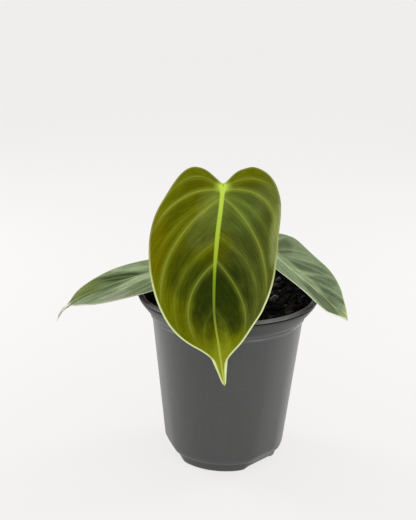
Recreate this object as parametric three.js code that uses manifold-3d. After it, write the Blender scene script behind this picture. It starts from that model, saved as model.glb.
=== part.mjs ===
// Young velvet-leaved philodendron in a thin plastic nursery pot: three heart-shaped leaves on stalks
// that grow from a short stem, which stands in a hole in the potting mix.
// Millimetres, +Z up. The origin is on the pot's axis, on the plane that the pot stands on, and the
// large front leaf faces -Y. Angles round the pot start at -Y and turn towards +X.

import * as THREE from "three";
import { mergeVertices } from "three/addons/utils/BufferGeometryUtils.js";
import Module from "manifold-3d";

const wasm = await Module();
wasm.setup();

// Clearance between neighbouring solids
const GAP = 0.3;

// Pot
const POT_HEIGHT = 100;
const LIP_RADIUS = 52;
const LIP_HEIGHT = 1.8;
const LIP_THICKNESS = 3.5;
const COLLAR_FOOT_Z = 86;
const WALL_TOP_RADIUS = 43.3;
const WALL_FOOT_RADIUS = 34.8;
const WALL_FOOT_Z = 8.6;
const WALL = 1.2;
const FOOT_RADIUS = 30.4;
const FOOT_WIDTH = 2.2;
const FLOOR_UNDERSIDE = 1.4;
const FLOOR_TOP = 2.6;
const CENTRE_PAD_RADIUS = 12;
const POT_SEGMENTS = 48;

// Notches in the foot: a flat facet cuts the bottom corner and lifts the foot clear of the saucer
const NOTCH_ANGLES = [46, 166, -74];
const NOTCH_HALF_ANGLE = 22.5;
const NOTCH_LIFT = 1.6;
const FACET_REACH = 27.4;
const FACET_SLOPE = 0.7;
const FACET_WALL = 1.45;

// Curved drain slots in the floor, one inside each notch
const SLOT_INNER_RADIUS = 18;
const SLOT_OUTER_RADIUS = 22;
const SLOT_HALF_ANGLE = 15;

// Potting mix
const SOIL_LEVEL = 92.3;
const SOIL_HEAP = 2.4;
const HEAP_RADII = [28, 44];
const SOIL_LUMP = 0.9;
const SOIL_RINGS = 8;
const SOIL_SEGMENTS = 48;

// Stem
const STEM_X = 2;
const STEM_Y = 4;
const STEM_RADIUS = 4;
const STEM_TOP = 107;
const STEM_DEPTH = 14;
const STEM_SEGMENTS = 20;
const NODE_HEIGHTS = [96, 101.5];
const NODE_BULGE = 0.6;

// Leaf blades
const BLADE_THICKNESS = 0.9;
const BLADE_COLUMNS = 7;
const QUILT = 0.55;
const MIDRIB_ROUNDING = 3;
const TAIL_HALF_WIDTH = 0.55;

// Main veins of half a blade from the notch to the tip: [outer end as a share of the margin, foot as a
// share of the midrib, degrees that it leaves the midrib at]
const VEINS = [
  [0, 0, 180], [0.14, 0, 128], [0.3, 0, 113], [0.49, 0.01, 80], [0.6, 0.045, 57], [0.71, 0.065, 44],
  [0.79, 0.23, 40], [0.85, 0.35, 35], [0.9, 0.56, 29], [0.95, 0.78, 24], [1, 1, 20],
];
const ROWS_PER_VEIN = 3;

// Half outlines from the notch to the tip: [share of the half width, share of the blade's length]
const FRONT_LEAF_LEFT = [
  [0, -0.012], [0.13, -0.051], [0.26, -0.087], [0.39, -0.106], [0.515, -0.106], [0.63, -0.081],
  [0.74, -0.027], [0.875, 0.07], [0.965, 0.17], [1, 0.26], [1, 0.34], [0.975, 0.42], [0.91, 0.51],
  [0.81, 0.595], [0.66, 0.675], [0.46, 0.75], [0.22, 0.815], [0.12, 0.855], [0.085, 0.905],
  [0.04, 0.975], [0, 1],
];
const FRONT_LEAF_RIGHT = [
  [0, -0.012], [0.07, -0.044], [0.18, -0.092], [0.3, -0.118], [0.42, -0.134], [0.545, -0.129],
  [0.675, -0.107], [0.775, -0.068], [0.84, -0.022], [0.888, 0.04], [0.902, 0.12], [0.903, 0.2],
  [0.912, 0.3], [0.895, 0.43], [0.84, 0.52], [0.755, 0.6], [0.65, 0.672], [0.4, 0.765],
  [0.16, 0.835], [0.07, 0.88], [0.045, 0.94], [0.03, 0.98], [0, 1],
];
const LEFT_LEAF_BACK = [
  [0, -0.015], [0.15, -0.075], [0.34, -0.13], [0.54, -0.14], [0.74, -0.09], [0.84, 0.01],
  [0.88, 0.12], [0.92, 0.28], [0.97, 0.38], [1, 0.47], [0.975, 0.55], [0.885, 0.615],
  [0.785, 0.672], [0.69, 0.73], [0.595, 0.79], [0.49, 0.853], [0.35, 0.915], [0.2, 0.955],
  [0.09, 0.985], [0, 1],
];
const LEFT_LEAF_FRONT = [
  [0, -0.015], [0.15, -0.075], [0.34, -0.13], [0.54, -0.14], [0.74, -0.09], [0.89, 0.01],
  [0.96, 0.11], [0.995, 0.24], [0.98, 0.36], [0.93, 0.48], [0.855, 0.59], [0.75, 0.69],
  [0.615, 0.78], [0.445, 0.855], [0.28, 0.92], [0.13, 0.962], [0.05, 0.985], [0, 1],
];
const RIGHT_LEAF_FRONT = [
  [0, -0.015], [0.15, -0.075], [0.34, -0.13], [0.54, -0.14], [0.74, -0.09], [0.87, 0.01],
  [0.92, 0.11], [0.95, 0.24], [0.95, 0.36], [0.925, 0.48], [0.9, 0.59], [0.86, 0.68],
  [0.72, 0.755], [0.54, 0.805], [0.37, 0.855], [0.21, 0.91], [0.1, 0.955], [0.04, 0.985], [0, 1],
];
const RIGHT_LEAF_BACK = [
  [0, -0.015], [0.15, -0.075], [0.34, -0.13], [0.54, -0.14], [0.75, -0.095], [0.895, -0.03],
  [0.975, 0.02], [1, 0.09], [1, 0.2], [1, 0.35], [0.995, 0.45], [0.96, 0.54], [0.87, 0.65],
  [0.76, 0.73], [0.64, 0.795], [0.49, 0.85], [0.29, 0.93], [0.15, 0.97], [0.05, 0.99], [0, 1],
];

// Each leaf: the midrib from the stalk's joint to the tip, the direction across the blade, and the
// blade's cross section. Pairs of values are for the two sides, [negative, positive] along `across`.
const LEAVES = [
  {
    name: "front",
    midrib: [
      [-5, -29, 168.5], [-6, -40, 159.5], [-7.5, -50, 147], [-8.5, -57, 128],
      [-8, -60.5, 108], [-5, -60.5, 89.5], [-1.5, -57.5, 66.5],
    ],
    across: 90,
    halfWidth: 35,
    outlines: [FRONT_LEAF_LEFT, FRONT_LEAF_RIGHT],
    fold: [0, 0],
    arch: [0.004, 0.004],
    roll: 0,
    twist: 0,
    stalk: { angle: -8, height: 103, rise: 70, bend: [[1.5, -4, 125], [-0.5, -10, 148]] },
  },
  {
    name: "left",
    midrib: [[-23, 2.5, 116], [-74, -4, 100], [-91.5, -6, 89.7]],
    tail: [-97.5, -8, 81],
    across: 7,
    halfWidth: 27.5,
    outlines: [LEFT_LEAF_BACK, LEFT_LEAF_FRONT],
    fold: [0, 0],
    arch: [0.0022, 0.001],
    roll: 2,
    twist: -10,
    stalk: { angle: -100, height: 96.5, rise: 35, bend: [[-12, 3.2, 104]] },
  },
  {
    name: "right",
    midrib: [[23, -1, 124], [48, -16, 107.5], [66.5, -21.5, 91.5]],
    across: 135,
    halfWidth: 26.5,
    outlines: [RIGHT_LEAF_FRONT, RIGHT_LEAF_BACK],
    fold: [0.47, 0.02],
    arch: [0.0002, 0.0013],
    roll: -1,
    twist: -14,
    stalk: { angle: 80, height: 98, rise: 45, bend: [[14, 2.5, 108]] },
  },
];

// Stalks
const STALK_RADIUS = 1.6;
const STALK_HALF_SIDES = 5;
const STALK_STEPS = 16;
const STALK_RUN_IN = 7;

const COLOURS = {
  pot: { color: 0x4a4b4d, roughness: 0.55 },
  soil: { color: 0x15110e, roughness: 1 },
  stem: { color: 0x6f7a36, roughness: 0.7 },
  stalk: { color: 0x8fa347, roughness: 0.6 },
  frontLeaf: { color: 0x566212, roughness: 0.75 },
  sideLeaf: { color: 0x7f9070, roughness: 0.7 },
};

const { degToRad, lerp } = THREE.MathUtils;

// A point at a radius and angle round an upright axis
function around(radius, degrees, z, x = 0, y = 0) {
  const angle = degToRad(degrees);
  return new THREE.Vector3(x + radius * Math.sin(angle), y - radius * Math.cos(angle), z);
}

// Collects the triangles of one closed skin. Points closer than a micron are one vertex.
class Skin {
  constructor() {
    this.positions = [];
    this.triangles = [];
    this.indexOf = new Map();
  }

  vertex(point) {
    const key = point.toArray().map((value) => Math.round(value * 1000)).join();
    if (!this.indexOf.has(key)) {
      this.indexOf.set(key, this.positions.length / 3);
      this.positions.push(point.x, point.y, point.z);
    }
    return this.indexOf.get(key);
  }

  triangle(a, b, c) {
    const [i, j, k] = [a, b, c].map((point) => this.vertex(point));
    if (i !== j && j !== k && k !== i) {
      this.triangles.push(i, j, k);
    }
  }

  // Skins the surface between the rows of a net. A closed net joins its last row to its first, and
  // one turned over faces the other way, with its squares split along the same diagonals.
  net(rows, { closed = false, turned = false } = {}) {
    const count = closed ? rows.length : rows.length - 1;
    for (let r = 0; r < count; r += 1) {
      const row = rows[r];
      const next = rows[(r + 1) % rows.length];
      for (let c = 0; c + 1 < row.length; c += 1) {
        const [b, d] = turned ? [row[c + 1], next[c]] : [next[c], row[c + 1]];
        this.triangle(row[c], b, next[c + 1]);
        this.triangle(row[c], next[c + 1], d);
      }
    }
  }

  // Six times the signed volume, which is negative while the faces point inwards
  volume() {
    const corner = (n) => new THREE.Vector3().fromArray(this.positions, 3 * this.triangles[n]);
    let sum = 0;
    for (let n = 0; n < this.triangles.length; n += 3) {
      sum += corner(n).dot(corner(n + 1).cross(corner(n + 2)));
    }
    return sum;
  }

  geometry() {
    if (this.volume() < 0) {
      this.triangles.reverse();
    }
    const geometry = new THREE.BufferGeometry();
    geometry.setAttribute("position", new THREE.Float32BufferAttribute(this.positions, 3));
    geometry.setIndex(this.triangles);
    return geometry;
  }
}

function toManifold(geometry) {
  const bare = geometry.clone();
  bare.deleteAttribute("normal");
  bare.deleteAttribute("uv");
  const merged = mergeVertices(bare, 1e-4);
  const vertProperties = new Float32Array(merged.attributes.position.array);
  const triVerts = new Uint32Array(merged.index.array);
  return new wasm.Manifold(new wasm.Mesh({ numProp: 3, vertProperties, triVerts }));
}

function fromManifold(solid) {
  const mesh = solid.getMesh();
  const geometry = new THREE.BufferGeometry();
  geometry.setAttribute("position", new THREE.Float32BufferAttribute(mesh.vertProperties, 3));
  geometry.setIndex(Array.from(mesh.triVerts));
  return geometry;
}

function namedMesh(name, geometry, finish) {
  const mesh = new THREE.Mesh(geometry, new THREE.MeshStandardMaterial({ metalness: 0, ...finish }));
  mesh.name = name;
  return mesh;
}

// Angle from the nearest notch's middle, or null on the stretches of foot between the notches
function angleInNotch(degrees) {
  for (const middle of NOTCH_ANGLES) {
    const away = THREE.MathUtils.euclideanModulo(degrees - middle + 180, 360) - 180;
    if (Math.abs(away) < NOTCH_HALF_ANGLE - 0.01) {
      return away;
    }
  }
  return null;
}

// The flat facets: a point of the pot's profile, pulled in behind the facet where there is one
function notched([radius, z], degrees, setback) {
  const away = angleInNotch(degrees);
  if (away === null) {
    return around(radius, degrees, z);
  }
  const height = radius > FOOT_RADIUS - FOOT_WIDTH - 0.01 ? Math.max(z, NOTCH_LIFT) : z;
  const reach = (FACET_REACH + FACET_SLOPE * height - setback) / Math.cos(degToRad(away));
  return around(Math.min(radius, reach), degrees, height);
}

// Pot's outside from the middle of its floor up to the lip's top edge: [radius, z]
const POT_OUTSIDE = [
  [0, 0],
  [CENTRE_PAD_RADIUS, 0],
  [CENTRE_PAD_RADIUS + 0.8, FLOOR_UNDERSIDE],
  [FOOT_RADIUS - FOOT_WIDTH - 0.8, FLOOR_UNDERSIDE],
  [FOOT_RADIUS - FOOT_WIDTH, 0],
  [FOOT_RADIUS, 0],
  [FOOT_RADIUS + 0.6, 0.8],
  [FOOT_RADIUS + 0.8, 4.4],
  [FOOT_RADIUS + 1.6, 5.2],
  [WALL_FOOT_RADIUS - 0.8, WALL_FOOT_Z - 2.4],
  [WALL_FOOT_RADIUS, WALL_FOOT_Z],
  [WALL_TOP_RADIUS, COLLAR_FOOT_Z],
  [WALL_TOP_RADIUS + 0.8, COLLAR_FOOT_Z + 0.4],
  [WALL_TOP_RADIUS + 0.9, COLLAR_FOOT_Z + 1.3],
  [WALL_TOP_RADIUS + 2.5, COLLAR_FOOT_Z + 3.8],
  [WALL_TOP_RADIUS + 5, COLLAR_FOOT_Z + 7],
  [LIP_RADIUS - 1.7, POT_HEIGHT - LIP_HEIGHT - 2.6],
  [LIP_RADIUS - 0.7, POT_HEIGHT - LIP_HEIGHT - 0.4],
  [LIP_RADIUS, POT_HEIGHT - LIP_HEIGHT],
  [LIP_RADIUS, POT_HEIGHT - 1],
  [LIP_RADIUS - 1.1, POT_HEIGHT],
  [LIP_RADIUS - LIP_THICKNESS + 0.5, POT_HEIGHT],
];

// Pot's inside from the lip down to the middle of its floor
const POT_INSIDE = [
  [LIP_RADIUS - LIP_THICKNESS, POT_HEIGHT - 0.6],
  [LIP_RADIUS - LIP_THICKNESS - 0.5, POT_HEIGHT - 3],
  [WALL_TOP_RADIUS + 3.5, COLLAR_FOOT_Z + 7],
  [WALL_TOP_RADIUS + 1, COLLAR_FOOT_Z + 3.8],
  [WALL_TOP_RADIUS - 0.3, COLLAR_FOOT_Z + 1.2],
  [WALL_TOP_RADIUS - WALL, COLLAR_FOOT_Z - 0.4],
  [WALL_FOOT_RADIUS - WALL, WALL_FOOT_Z + 0.2],
  [WALL_FOOT_RADIUS - WALL - 0.8, WALL_FOOT_Z - 2.2],
  [FOOT_RADIUS + 0.4, WALL_FOOT_Z - 3.8],
  [FOOT_RADIUS - 0.8, FLOOR_TOP + 1.6],
  [FOOT_RADIUS - 2, FLOOR_TOP + 0.4],
  [FOOT_RADIUS - 3, FLOOR_TOP],
  [0, FLOOR_TOP],
];

function potGeometry() {
  const skin = new Skin();
  const rows = [];
  for (let n = 0; n < POT_SEGMENTS; n += 1) {
    const degrees = NOTCH_ANGLES[0] + (360 * n) / POT_SEGMENTS;
    const outside = POT_OUTSIDE.map((point) => notched(point, degrees, 0));
    const inside = POT_INSIDE.map((point) => notched(point, degrees, FACET_WALL));
    rows.push([...outside, ...inside]);
  }
  skin.net(rows, { closed: true });
  let pot = toManifold(skin.geometry());
  const halfAngle = degToRad(SLOT_HALF_ANGLE);
  const outline = new THREE.Shape();
  outline.absarc(0, 0, SLOT_OUTER_RADIUS, -halfAngle, halfAngle, false);
  outline.absarc(0, 0, SLOT_INNER_RADIUS, halfAngle, -halfAngle, true);
  for (const degrees of NOTCH_ANGLES) {
    const slot = new THREE.ExtrudeGeometry(outline, {
      depth: 2 * FLOOR_TOP, bevelEnabled: false, curveSegments: 6,
    });
    slot.rotateZ(degToRad(degrees - 90));
    slot.translate(0, 0, -FLOOR_TOP / 2);
    pot = pot.subtract(toManifold(slot));
  }
  return fromManifold(pot);
}

// Lumpy level of the potting mix, from a few crossing waves, heaped up a little towards the wall
function soilLevel(x, y) {
  const wave = Math.sin(x / 4.1 + 1.3) * Math.cos(y / 5.3 - 0.4);
  const ripple = Math.sin((x + y) / 2.9) * Math.sin((x - 1.7 * y) / 3.7 + 2);
  const heap = SOIL_HEAP * THREE.MathUtils.smoothstep(Math.hypot(x, y), ...HEAP_RADII);
  return SOIL_LEVEL + heap + SOIL_LUMP * (0.6 * wave + 0.4 * ripple);
}

function potInnerRadius(z) {
  for (let n = 0; n + 1 < POT_INSIDE.length; n += 1) {
    const [upperRadius, upperZ] = POT_INSIDE[n];
    const [lowerRadius, lowerZ] = POT_INSIDE[n + 1];
    if (z <= upperZ && z >= lowerZ && upperZ > lowerZ) {
      return lerp(lowerRadius, upperRadius, (z - lowerZ) / (upperZ - lowerZ));
    }
  }
  throw new Error("height outside the pot");
}

function soilGeometry() {
  const skin = new Skin();
  const holeRadius = STEM_RADIUS + GAP;
  const holeBottom = SOIL_LEVEL - STEM_DEPTH - GAP;
  const edgeLevel = SOIL_LEVEL + SOIL_HEAP;
  const edgeRadius = potInnerRadius(edgeLevel) - GAP;
  const side = POT_INSIDE.filter(([, z]) => z < edgeLevel - 1);
  const rows = [];
  for (let n = 0; n < SOIL_SEGMENTS; n += 1) {
    const degrees = NOTCH_ANGLES[0] + (360 * n) / SOIL_SEGMENTS;
    const row = [new THREE.Vector3(STEM_X, STEM_Y, holeBottom)];
    row.push(around(holeRadius, degrees, holeBottom, STEM_X, STEM_Y));
    for (let ring = 0; ring <= SOIL_RINGS; ring += 1) {
      const out = ring / SOIL_RINGS;
      const radius = lerp(holeRadius, edgeRadius, out);
      const point = around(radius, degrees, 0, STEM_X * (1 - out), STEM_Y * (1 - out));
      point.z = ring === SOIL_RINGS ? edgeLevel : soilLevel(point.x, point.y);
      row.push(point);
    }
    for (const [radius, z] of side) {
      const clearRadius = Math.max(radius - 1.2 * GAP, 0);
      row.push(notched([clearRadius, z], degrees, FACET_WALL + 1.2 * GAP));
    }
    for (const point of row.slice(-4)) {
      point.z += GAP;
    }
    rows.push(row);
  }
  skin.net(rows, { closed: true });
  return skin.geometry();
}

function stemRadius(z) {
  const bulge = NODE_HEIGHTS.map((node) => Math.exp(-(((z - node) / 0.9) ** 2)));
  const taper = 1 - 0.2 * THREE.MathUtils.smoothstep(z, SOIL_LEVEL, STEM_TOP);
  return (STEM_RADIUS - NODE_BULGE) * taper + NODE_BULGE * Math.max(...bulge);
}

function stemGeometry() {
  const foot = SOIL_LEVEL - STEM_DEPTH;
  const profile = [new THREE.Vector2(0, foot), new THREE.Vector2(STEM_RADIUS - 0.6, foot)];
  for (let z = foot + 2; z < STEM_TOP - 1.5; z += 1.5) {
    profile.push(new THREE.Vector2(stemRadius(z), z));
  }
  profile.push(new THREE.Vector2(stemRadius(STEM_TOP) * 0.75, STEM_TOP - 0.6));
  profile.push(new THREE.Vector2(0, STEM_TOP));
  const geometry = new THREE.LatheGeometry(profile, STEM_SEGMENTS);
  geometry.rotateX(Math.PI / 2);
  geometry.translate(STEM_X, STEM_Y, 0);
  return geometry;
}

// A leaf's surface: points by distance across the blade and distance along its midrib
class BladeSurface {
  constructor(leaf) {
    const points = leaf.midrib.map((point) => new THREE.Vector3(...point));
    this.bladeLength = BladeSurface.curveThrough(points).getLength();
    if (leaf.tail) {
      points.push(new THREE.Vector3(...leaf.tail));
    }
    this.curve = BladeSurface.curveThrough(points);
    this.length = this.curve.getLength();
    this.leaf = leaf;
    this.margins = leaf.outlines.map((outline) => this.margin(outline));
  }

  static curveThrough(points) {
    const curve = new THREE.CatmullRomCurve3(points, false, "catmullrom", 0.5);
    curve.arcLengthDivisions = 400;
    return curve;
  }

  // Half outline in millimetres: x across the blade, y along its midrib
  margin(outline) {
    const { halfWidth, tail } = this.leaf;
    const points = outline.map(([x, y]) => new THREE.Vector3(x * halfWidth, y * this.bladeLength, 0));
    if (tail) {
      points.pop();
      points.push(new THREE.Vector3(TAIL_HALF_WIDTH, lerp(this.bladeLength, this.length, 0.3), 0));
      points.push(new THREE.Vector3(TAIL_HALF_WIDTH, lerp(this.bladeLength, this.length, 0.9), 0));
      points.push(new THREE.Vector3(0, this.length, 0));
    }
    return BladeSurface.curveThrough(points);
  }

  // Middle line's point there, and the blade's directions along, across and out of its upper face
  frame(along) {
    const { across, roll, twist } = this.leaf;
    const share = THREE.MathUtils.clamp(along / this.length, 0, 1);
    const tangent = this.curve.getTangentAt(share);
    const origin = this.curve.getPointAt(share);
    if (along < 0) {
      origin.addScaledVector(tangent, along);
    }
    const side = around(1, across, 0);
    side.addScaledVector(tangent, -side.dot(tangent)).normalize();
    side.applyAxisAngle(tangent, degToRad(roll + (twist * along) / 100));
    const normal = new THREE.Vector3().crossVectors(tangent, side);
    return { origin, side, normal };
  }

  // Point on the blade's middle surface, lifted by the given height
  point(across, along, lift) {
    const { origin, side, normal } = this.frame(along);
    const half = across < 0 ? 0 : 1;
    const folded = Math.hypot(across, MIDRIB_ROUNDING) - MIDRIB_ROUNDING;
    const height = this.leaf.fold[half] * folded - this.leaf.arch[half] * across ** 2 + lift;
    return origin.addScaledVector(side, across).addScaledVector(normal, height);
  }

  // Line from the midrib to the margin, on a main vein or between two. The veins of the lobes all start
  // at the stalk, and the others start further and further down the midrib and curve towards the tip.
  rib(sign, [outerEnd, start, degrees]) {
    const margin = this.margins[sign < 0 ? 0 : 1].getPointAt(outerEnd);
    const end = new THREE.Vector2(sign * Math.max(margin.x, 0), margin.y);
    const foot = new THREE.Vector2(0, start * this.length);
    const reach = 0.55 * foot.distanceTo(end);
    const bend = new THREE.Vector2(sign * Math.sin(degToRad(degrees)), Math.cos(degToRad(degrees)));
    bend.multiplyScalar(reach).add(foot);
    return new THREE.QuadraticBezierCurve(foot, bend, end);
  }
}

// Rows of the blade's net: the main veins with even steps between them
function bladeRows() {
  const rows = [];
  for (let n = 0; n + 1 < VEINS.length; n += 1) {
    for (let step = 0; step < ROWS_PER_VEIN; step += 1) {
      const between = step / ROWS_PER_VEIN;
      rows.push({ place: VEINS[n].map((value, m) => lerp(value, VEINS[n + 1][m], between)), between });
    }
  }
  rows.push({ place: VEINS.at(-1), between: 0 });
  return rows;
}

// One side of the blade as rows of points, puffed up a little between its veins
function bladeNet(surface, sign, offset) {
  return bladeRows().map(({ place, between }) => {
    const rib = surface.rib(sign, place);
    const row = [];
    for (let n = 0; n <= BLADE_COLUMNS; n += 1) {
      const out = n / BLADE_COLUMNS;
      const { x, y } = rib.getPoint(out);
      const puff = QUILT * Math.sin(Math.PI * between) * Math.sin(Math.PI * out);
      row.push(surface.point(x, y, puff + offset));
    }
    return row;
  });
}

// One leaf blade: both faces are the same net, so that it is equally thick where it curves
function bladeGeometry(surface) {
  const skin = new Skin();
  for (const sign of [-1, 1]) {
    const turned = sign > 0;
    const upper = bladeNet(surface, sign, BLADE_THICKNESS / 2);
    const lower = bladeNet(surface, sign, -BLADE_THICKNESS / 2);
    skin.net(upper, { turned });
    skin.net(lower, { turned: !turned });
    skin.net(upper.map((row, n) => [row.at(-1), lower[n].at(-1)]), { turned });
  }
  return skin.geometry();
}

// A leaf's stalk: from beside the stem, up and round to the blade's underside at the notch
function stalkGeometry(leaf, surface) {
  const { angle, height, rise, bend } = leaf.stalk;
  const lean = degToRad(rise);
  const seats = [-1, -0.5, 0, 0.5, 1].map((edge) => (
    stemRadius(height + edge * STALK_RADIUS * Math.cos(lean)) + edge * STALK_RADIUS * Math.sin(lean)
  ));
  const start = around(Math.max(...seats) + GAP, angle, height, STEM_X, STEM_Y);
  const outward = around(Math.cos(lean), angle, Math.sin(lean));
  const { origin, normal } = surface.frame(0);
  const end = origin.clone().addScaledVector(normal, -BLADE_THICKNESS / 2 - GAP);
  const path = new THREE.CatmullRomCurve3([
    start,
    start.clone().addScaledVector(outward, STALK_RUN_IN / 2),
    ...bend.map((point) => new THREE.Vector3(...point)),
    end.clone().addScaledVector(normal, -STALK_RUN_IN),
    end.clone().addScaledVector(normal, -STALK_RUN_IN / 3),
    end,
  ]);
  const section = new THREE.Shape();
  section.absarc(0, 0, STALK_RADIUS, 0, 2 * Math.PI);
  return new THREE.ExtrudeGeometry(section, {
    steps: STALK_STEPS,
    curveSegments: STALK_HALF_SIDES,
    extrudePath: path,
  });
}

const plant = new THREE.Group();
plant.add(namedMesh("pot", potGeometry(), COLOURS.pot));
plant.add(namedMesh("soil", soilGeometry(), COLOURS.soil));
plant.add(namedMesh("stem", stemGeometry(), COLOURS.stem));
for (const leaf of LEAVES) {
  const surface = new BladeSurface(leaf);
  const finish = leaf.name === "front" ? COLOURS.frontLeaf : COLOURS.sideLeaf;
  plant.add(namedMesh(`stalk_${leaf.name}`, stalkGeometry(leaf, surface), COLOURS.stalk));
  plant.add(namedMesh(`leaf_${leaf.name}`, bladeGeometry(surface), finish));
}

export default plant;
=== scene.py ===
# Young velvet-leaved philodendron in its thin plastic nursery pot.
# Shapes are worked out in millimetres, by the same formulas as the solids of the frame, and turned to
# metres as each mesh is made. The origin is on the pot's axis, on the plane that the pot stands on, and
# the large front leaf faces -Y. Angles round the pot start at -Y and turn towards +X.

import math
import random
from collections import namedtuple

import bmesh
import bpy
import numpy as np
from bpy.props import FloatProperty, FloatVectorProperty, IntProperty, PointerProperty
from mathutils import Matrix, Vector, noise


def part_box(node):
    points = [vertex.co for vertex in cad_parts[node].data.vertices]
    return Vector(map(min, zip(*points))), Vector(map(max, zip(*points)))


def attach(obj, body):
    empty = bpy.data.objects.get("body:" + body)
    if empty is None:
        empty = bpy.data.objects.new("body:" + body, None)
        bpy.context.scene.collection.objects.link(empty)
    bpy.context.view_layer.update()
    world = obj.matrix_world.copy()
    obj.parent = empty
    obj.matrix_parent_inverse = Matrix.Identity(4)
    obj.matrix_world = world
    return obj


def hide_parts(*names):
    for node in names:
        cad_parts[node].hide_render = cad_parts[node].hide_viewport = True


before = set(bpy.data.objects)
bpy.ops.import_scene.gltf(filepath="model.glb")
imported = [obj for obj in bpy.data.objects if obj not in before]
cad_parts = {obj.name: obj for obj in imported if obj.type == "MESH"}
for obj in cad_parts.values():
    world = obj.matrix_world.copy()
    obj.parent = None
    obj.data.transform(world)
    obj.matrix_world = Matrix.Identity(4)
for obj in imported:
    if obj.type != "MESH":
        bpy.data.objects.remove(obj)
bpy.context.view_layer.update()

bl_info = {
    "name": "Potted Philodendron",
    "version": (1, 0, 0),
    "blender": (4, 5, 0),
    "location": "3D View > Sidebar > Plant",
    "description": "Builds a young velvet-leaved philodendron in its nursery pot",
    "category": "Object",
}

MM = 0.001
BODY = "root"

# Pot
POT_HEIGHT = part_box("pot")[1].z / MM
LIP_RADIUS = 52
LIP_HEIGHT = 0.9
COLLAR_FOOT_Z = 86
WALL_TOP_RADIUS = 43.3
WALL_FOOT_RADIUS = 34.8
WALL_FOOT_Z = 8.6
FOOT_RADIUS = 30.4
FOOT_WIDTH = 2.2
FLOOR_UNDERSIDE = 1.4
FLOOR_TOP = 2.6
CENTRE_PAD_RADIUS = 12
POT_STEP_DEGREES = 2

# How much of the plastic's colour the painted shade hides, where little light reaches: the lip's groove,
# the flare, the foot and the facets
GROOVE_SHADE = 0.85
FLARE_SHADE = 0.6
FOOT_SHADE = 0.14
FACET_SHADE = 0.24

# Notches in the pot's foot: a flat facet cuts the bottom corner and lifts the foot clear of the saucer
NOTCH_ANGLES = (46, 166, -74)
NOTCH_HALF_ANGLE = 22.5
NOTCH_RAMP = 5
NOTCH_LIFT = 1.6
FACET_REACH = 27.4
FACET_SLOPE = 0.7
FACET_WALL = 1.45
FACET_ROUNDING = 0.25

# Curved drain slots in the floor, one inside each notch
SLOT_RADII = (18, 22)
SLOT_HALF_ANGLE = 14

# Potting mix
SOIL_LEVEL = 92.3
SOIL_HEAP = 2.4
HEAP_RADII = (28, 44)
SOIL_LUMP = 0.9
SOIL_CLEARANCE = 0.36
EDGE_LEVEL = SOIL_LEVEL + SOIL_HEAP
LEANING_CHIP = (26, -1.5, 95.8)
LEANING_CHIP_HALF_SIZES = (1.4, 0.6, 3.2)
LEANING_CHIP_TURN = 32

# Stem
STEM_X = 2
STEM_Y = 4
STEM_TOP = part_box("stem")[1].z / MM
STEM_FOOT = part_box("stem")[0].z / MM
NODE_HEIGHTS = (96, 101.5)
NODE_BULGE = 0.6

# Main veins of half a blade, from the notch to the tip: [outer end as a share of the margin, foot as a
# share of the midrib, degrees that it leaves the midrib at, how far it keeps that direction, strength]
SIDE_VEINS = (
    (0, 0, 140, 0.5, 0), (0.14, 0, 128, 0.5, 0.2), (0.3, 0, 113, 0.6, 0.4), (0.49, 0.01, 80, 0.6, 0.5),
    (0.6, 0.045, 57, 0.6, 0.2), (0.71, 0.065, 44, 0.6, 0.5), (0.79, 0.23, 40, 0.6, 0.2),
    (0.85, 0.35, 35, 0.6, 0.45), (0.9, 0.56, 29, 0.6, 0.2), (0.95, 0.78, 24, 0.6, 0.1), (1, 1, 20, 0.6, 0),
)
FRONT_VEINS_LEFT = (
    (0, 0, 140, 0.5, 0), (0.14, 0, 131, 0.5, 0.1), (0.3, 0.015, 133, 0.8, 0.55), (0.45, 0.02, 94, 0.55, 1),
    (0.54, 0.045, 55, 0.5, 0.2), (0.685, 0.06, 44, 0.7, 0.8), (0.77, 0.285, 52, 0.66, 0.2),
    (0.855, 0.385, 47, 0.62, 0.65), (0.91, 0.6, 45, 0.5, 0.1), (0.955, 0.78, 34, 0.5, 0.05),
    (1, 1, 20, 0.5, 0),
)
FRONT_VEINS_RIGHT = (
    (0, 0, 145, 0.5, 0), (0.12, 0, 137, 0.5, 0.1), (0.25, 0.012, 137, 0.72, 0.5),
    (0.48, 0.022, 107, 0.71, 0.85), (0.58, 0.045, 76, 0.6, 0.1), (0.685, 0.06, 54, 0.6, 0.7),
    (0.77, 0.26, 66, 0.62, 0.15), (0.84, 0.37, 46, 0.72, 0.5), (0.91, 0.6, 45, 0.5, 0.08),
    (0.955, 0.78, 34, 0.5, 0.05), (1, 1, 20, 0.5, 0),
)
MIDRIB_ROUNDING = 3
TAIL_HALF_WIDTH = 0.2
VEIN_HALF_WIDTH = 0.5
VEIN_RIDGE = 0.25
JOINT_REACH = 9
TIP_HALF_THICKNESS = 0.1

# Length of the veins' lines and of the margin on the map that the ribs' streaks are drawn on
RIB_MAP_SIZE = (60, 130)

# Half outlines from the notch to the tip: [share of the half width, share of the blade's length]
FRONT_LEAF_LEFT = (
    (0, -0.012), (0.13, -0.051), (0.26, -0.087), (0.39, -0.106), (0.515, -0.106), (0.63, -0.081),
    (0.74, -0.027), (0.875, 0.07), (0.965, 0.17), (1, 0.26), (1, 0.34), (0.975, 0.42), (0.91, 0.51),
    (0.81, 0.595), (0.66, 0.675), (0.46, 0.75), (0.22, 0.815), (0.12, 0.855), (0.085, 0.905),
    (0.04, 0.975), (0, 1),
)
FRONT_LEAF_RIGHT = (
    (0, -0.012), (0.07, -0.044), (0.18, -0.092), (0.3, -0.118), (0.42, -0.134), (0.545, -0.129),
    (0.675, -0.107), (0.775, -0.068), (0.84, -0.022), (0.888, 0.04), (0.902, 0.12), (0.903, 0.2),
    (0.912, 0.3), (0.895, 0.43), (0.84, 0.52), (0.755, 0.6), (0.65, 0.672), (0.4, 0.765),
    (0.16, 0.835), (0.07, 0.88), (0.045, 0.94), (0.03, 0.98), (0, 1),
)
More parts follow.
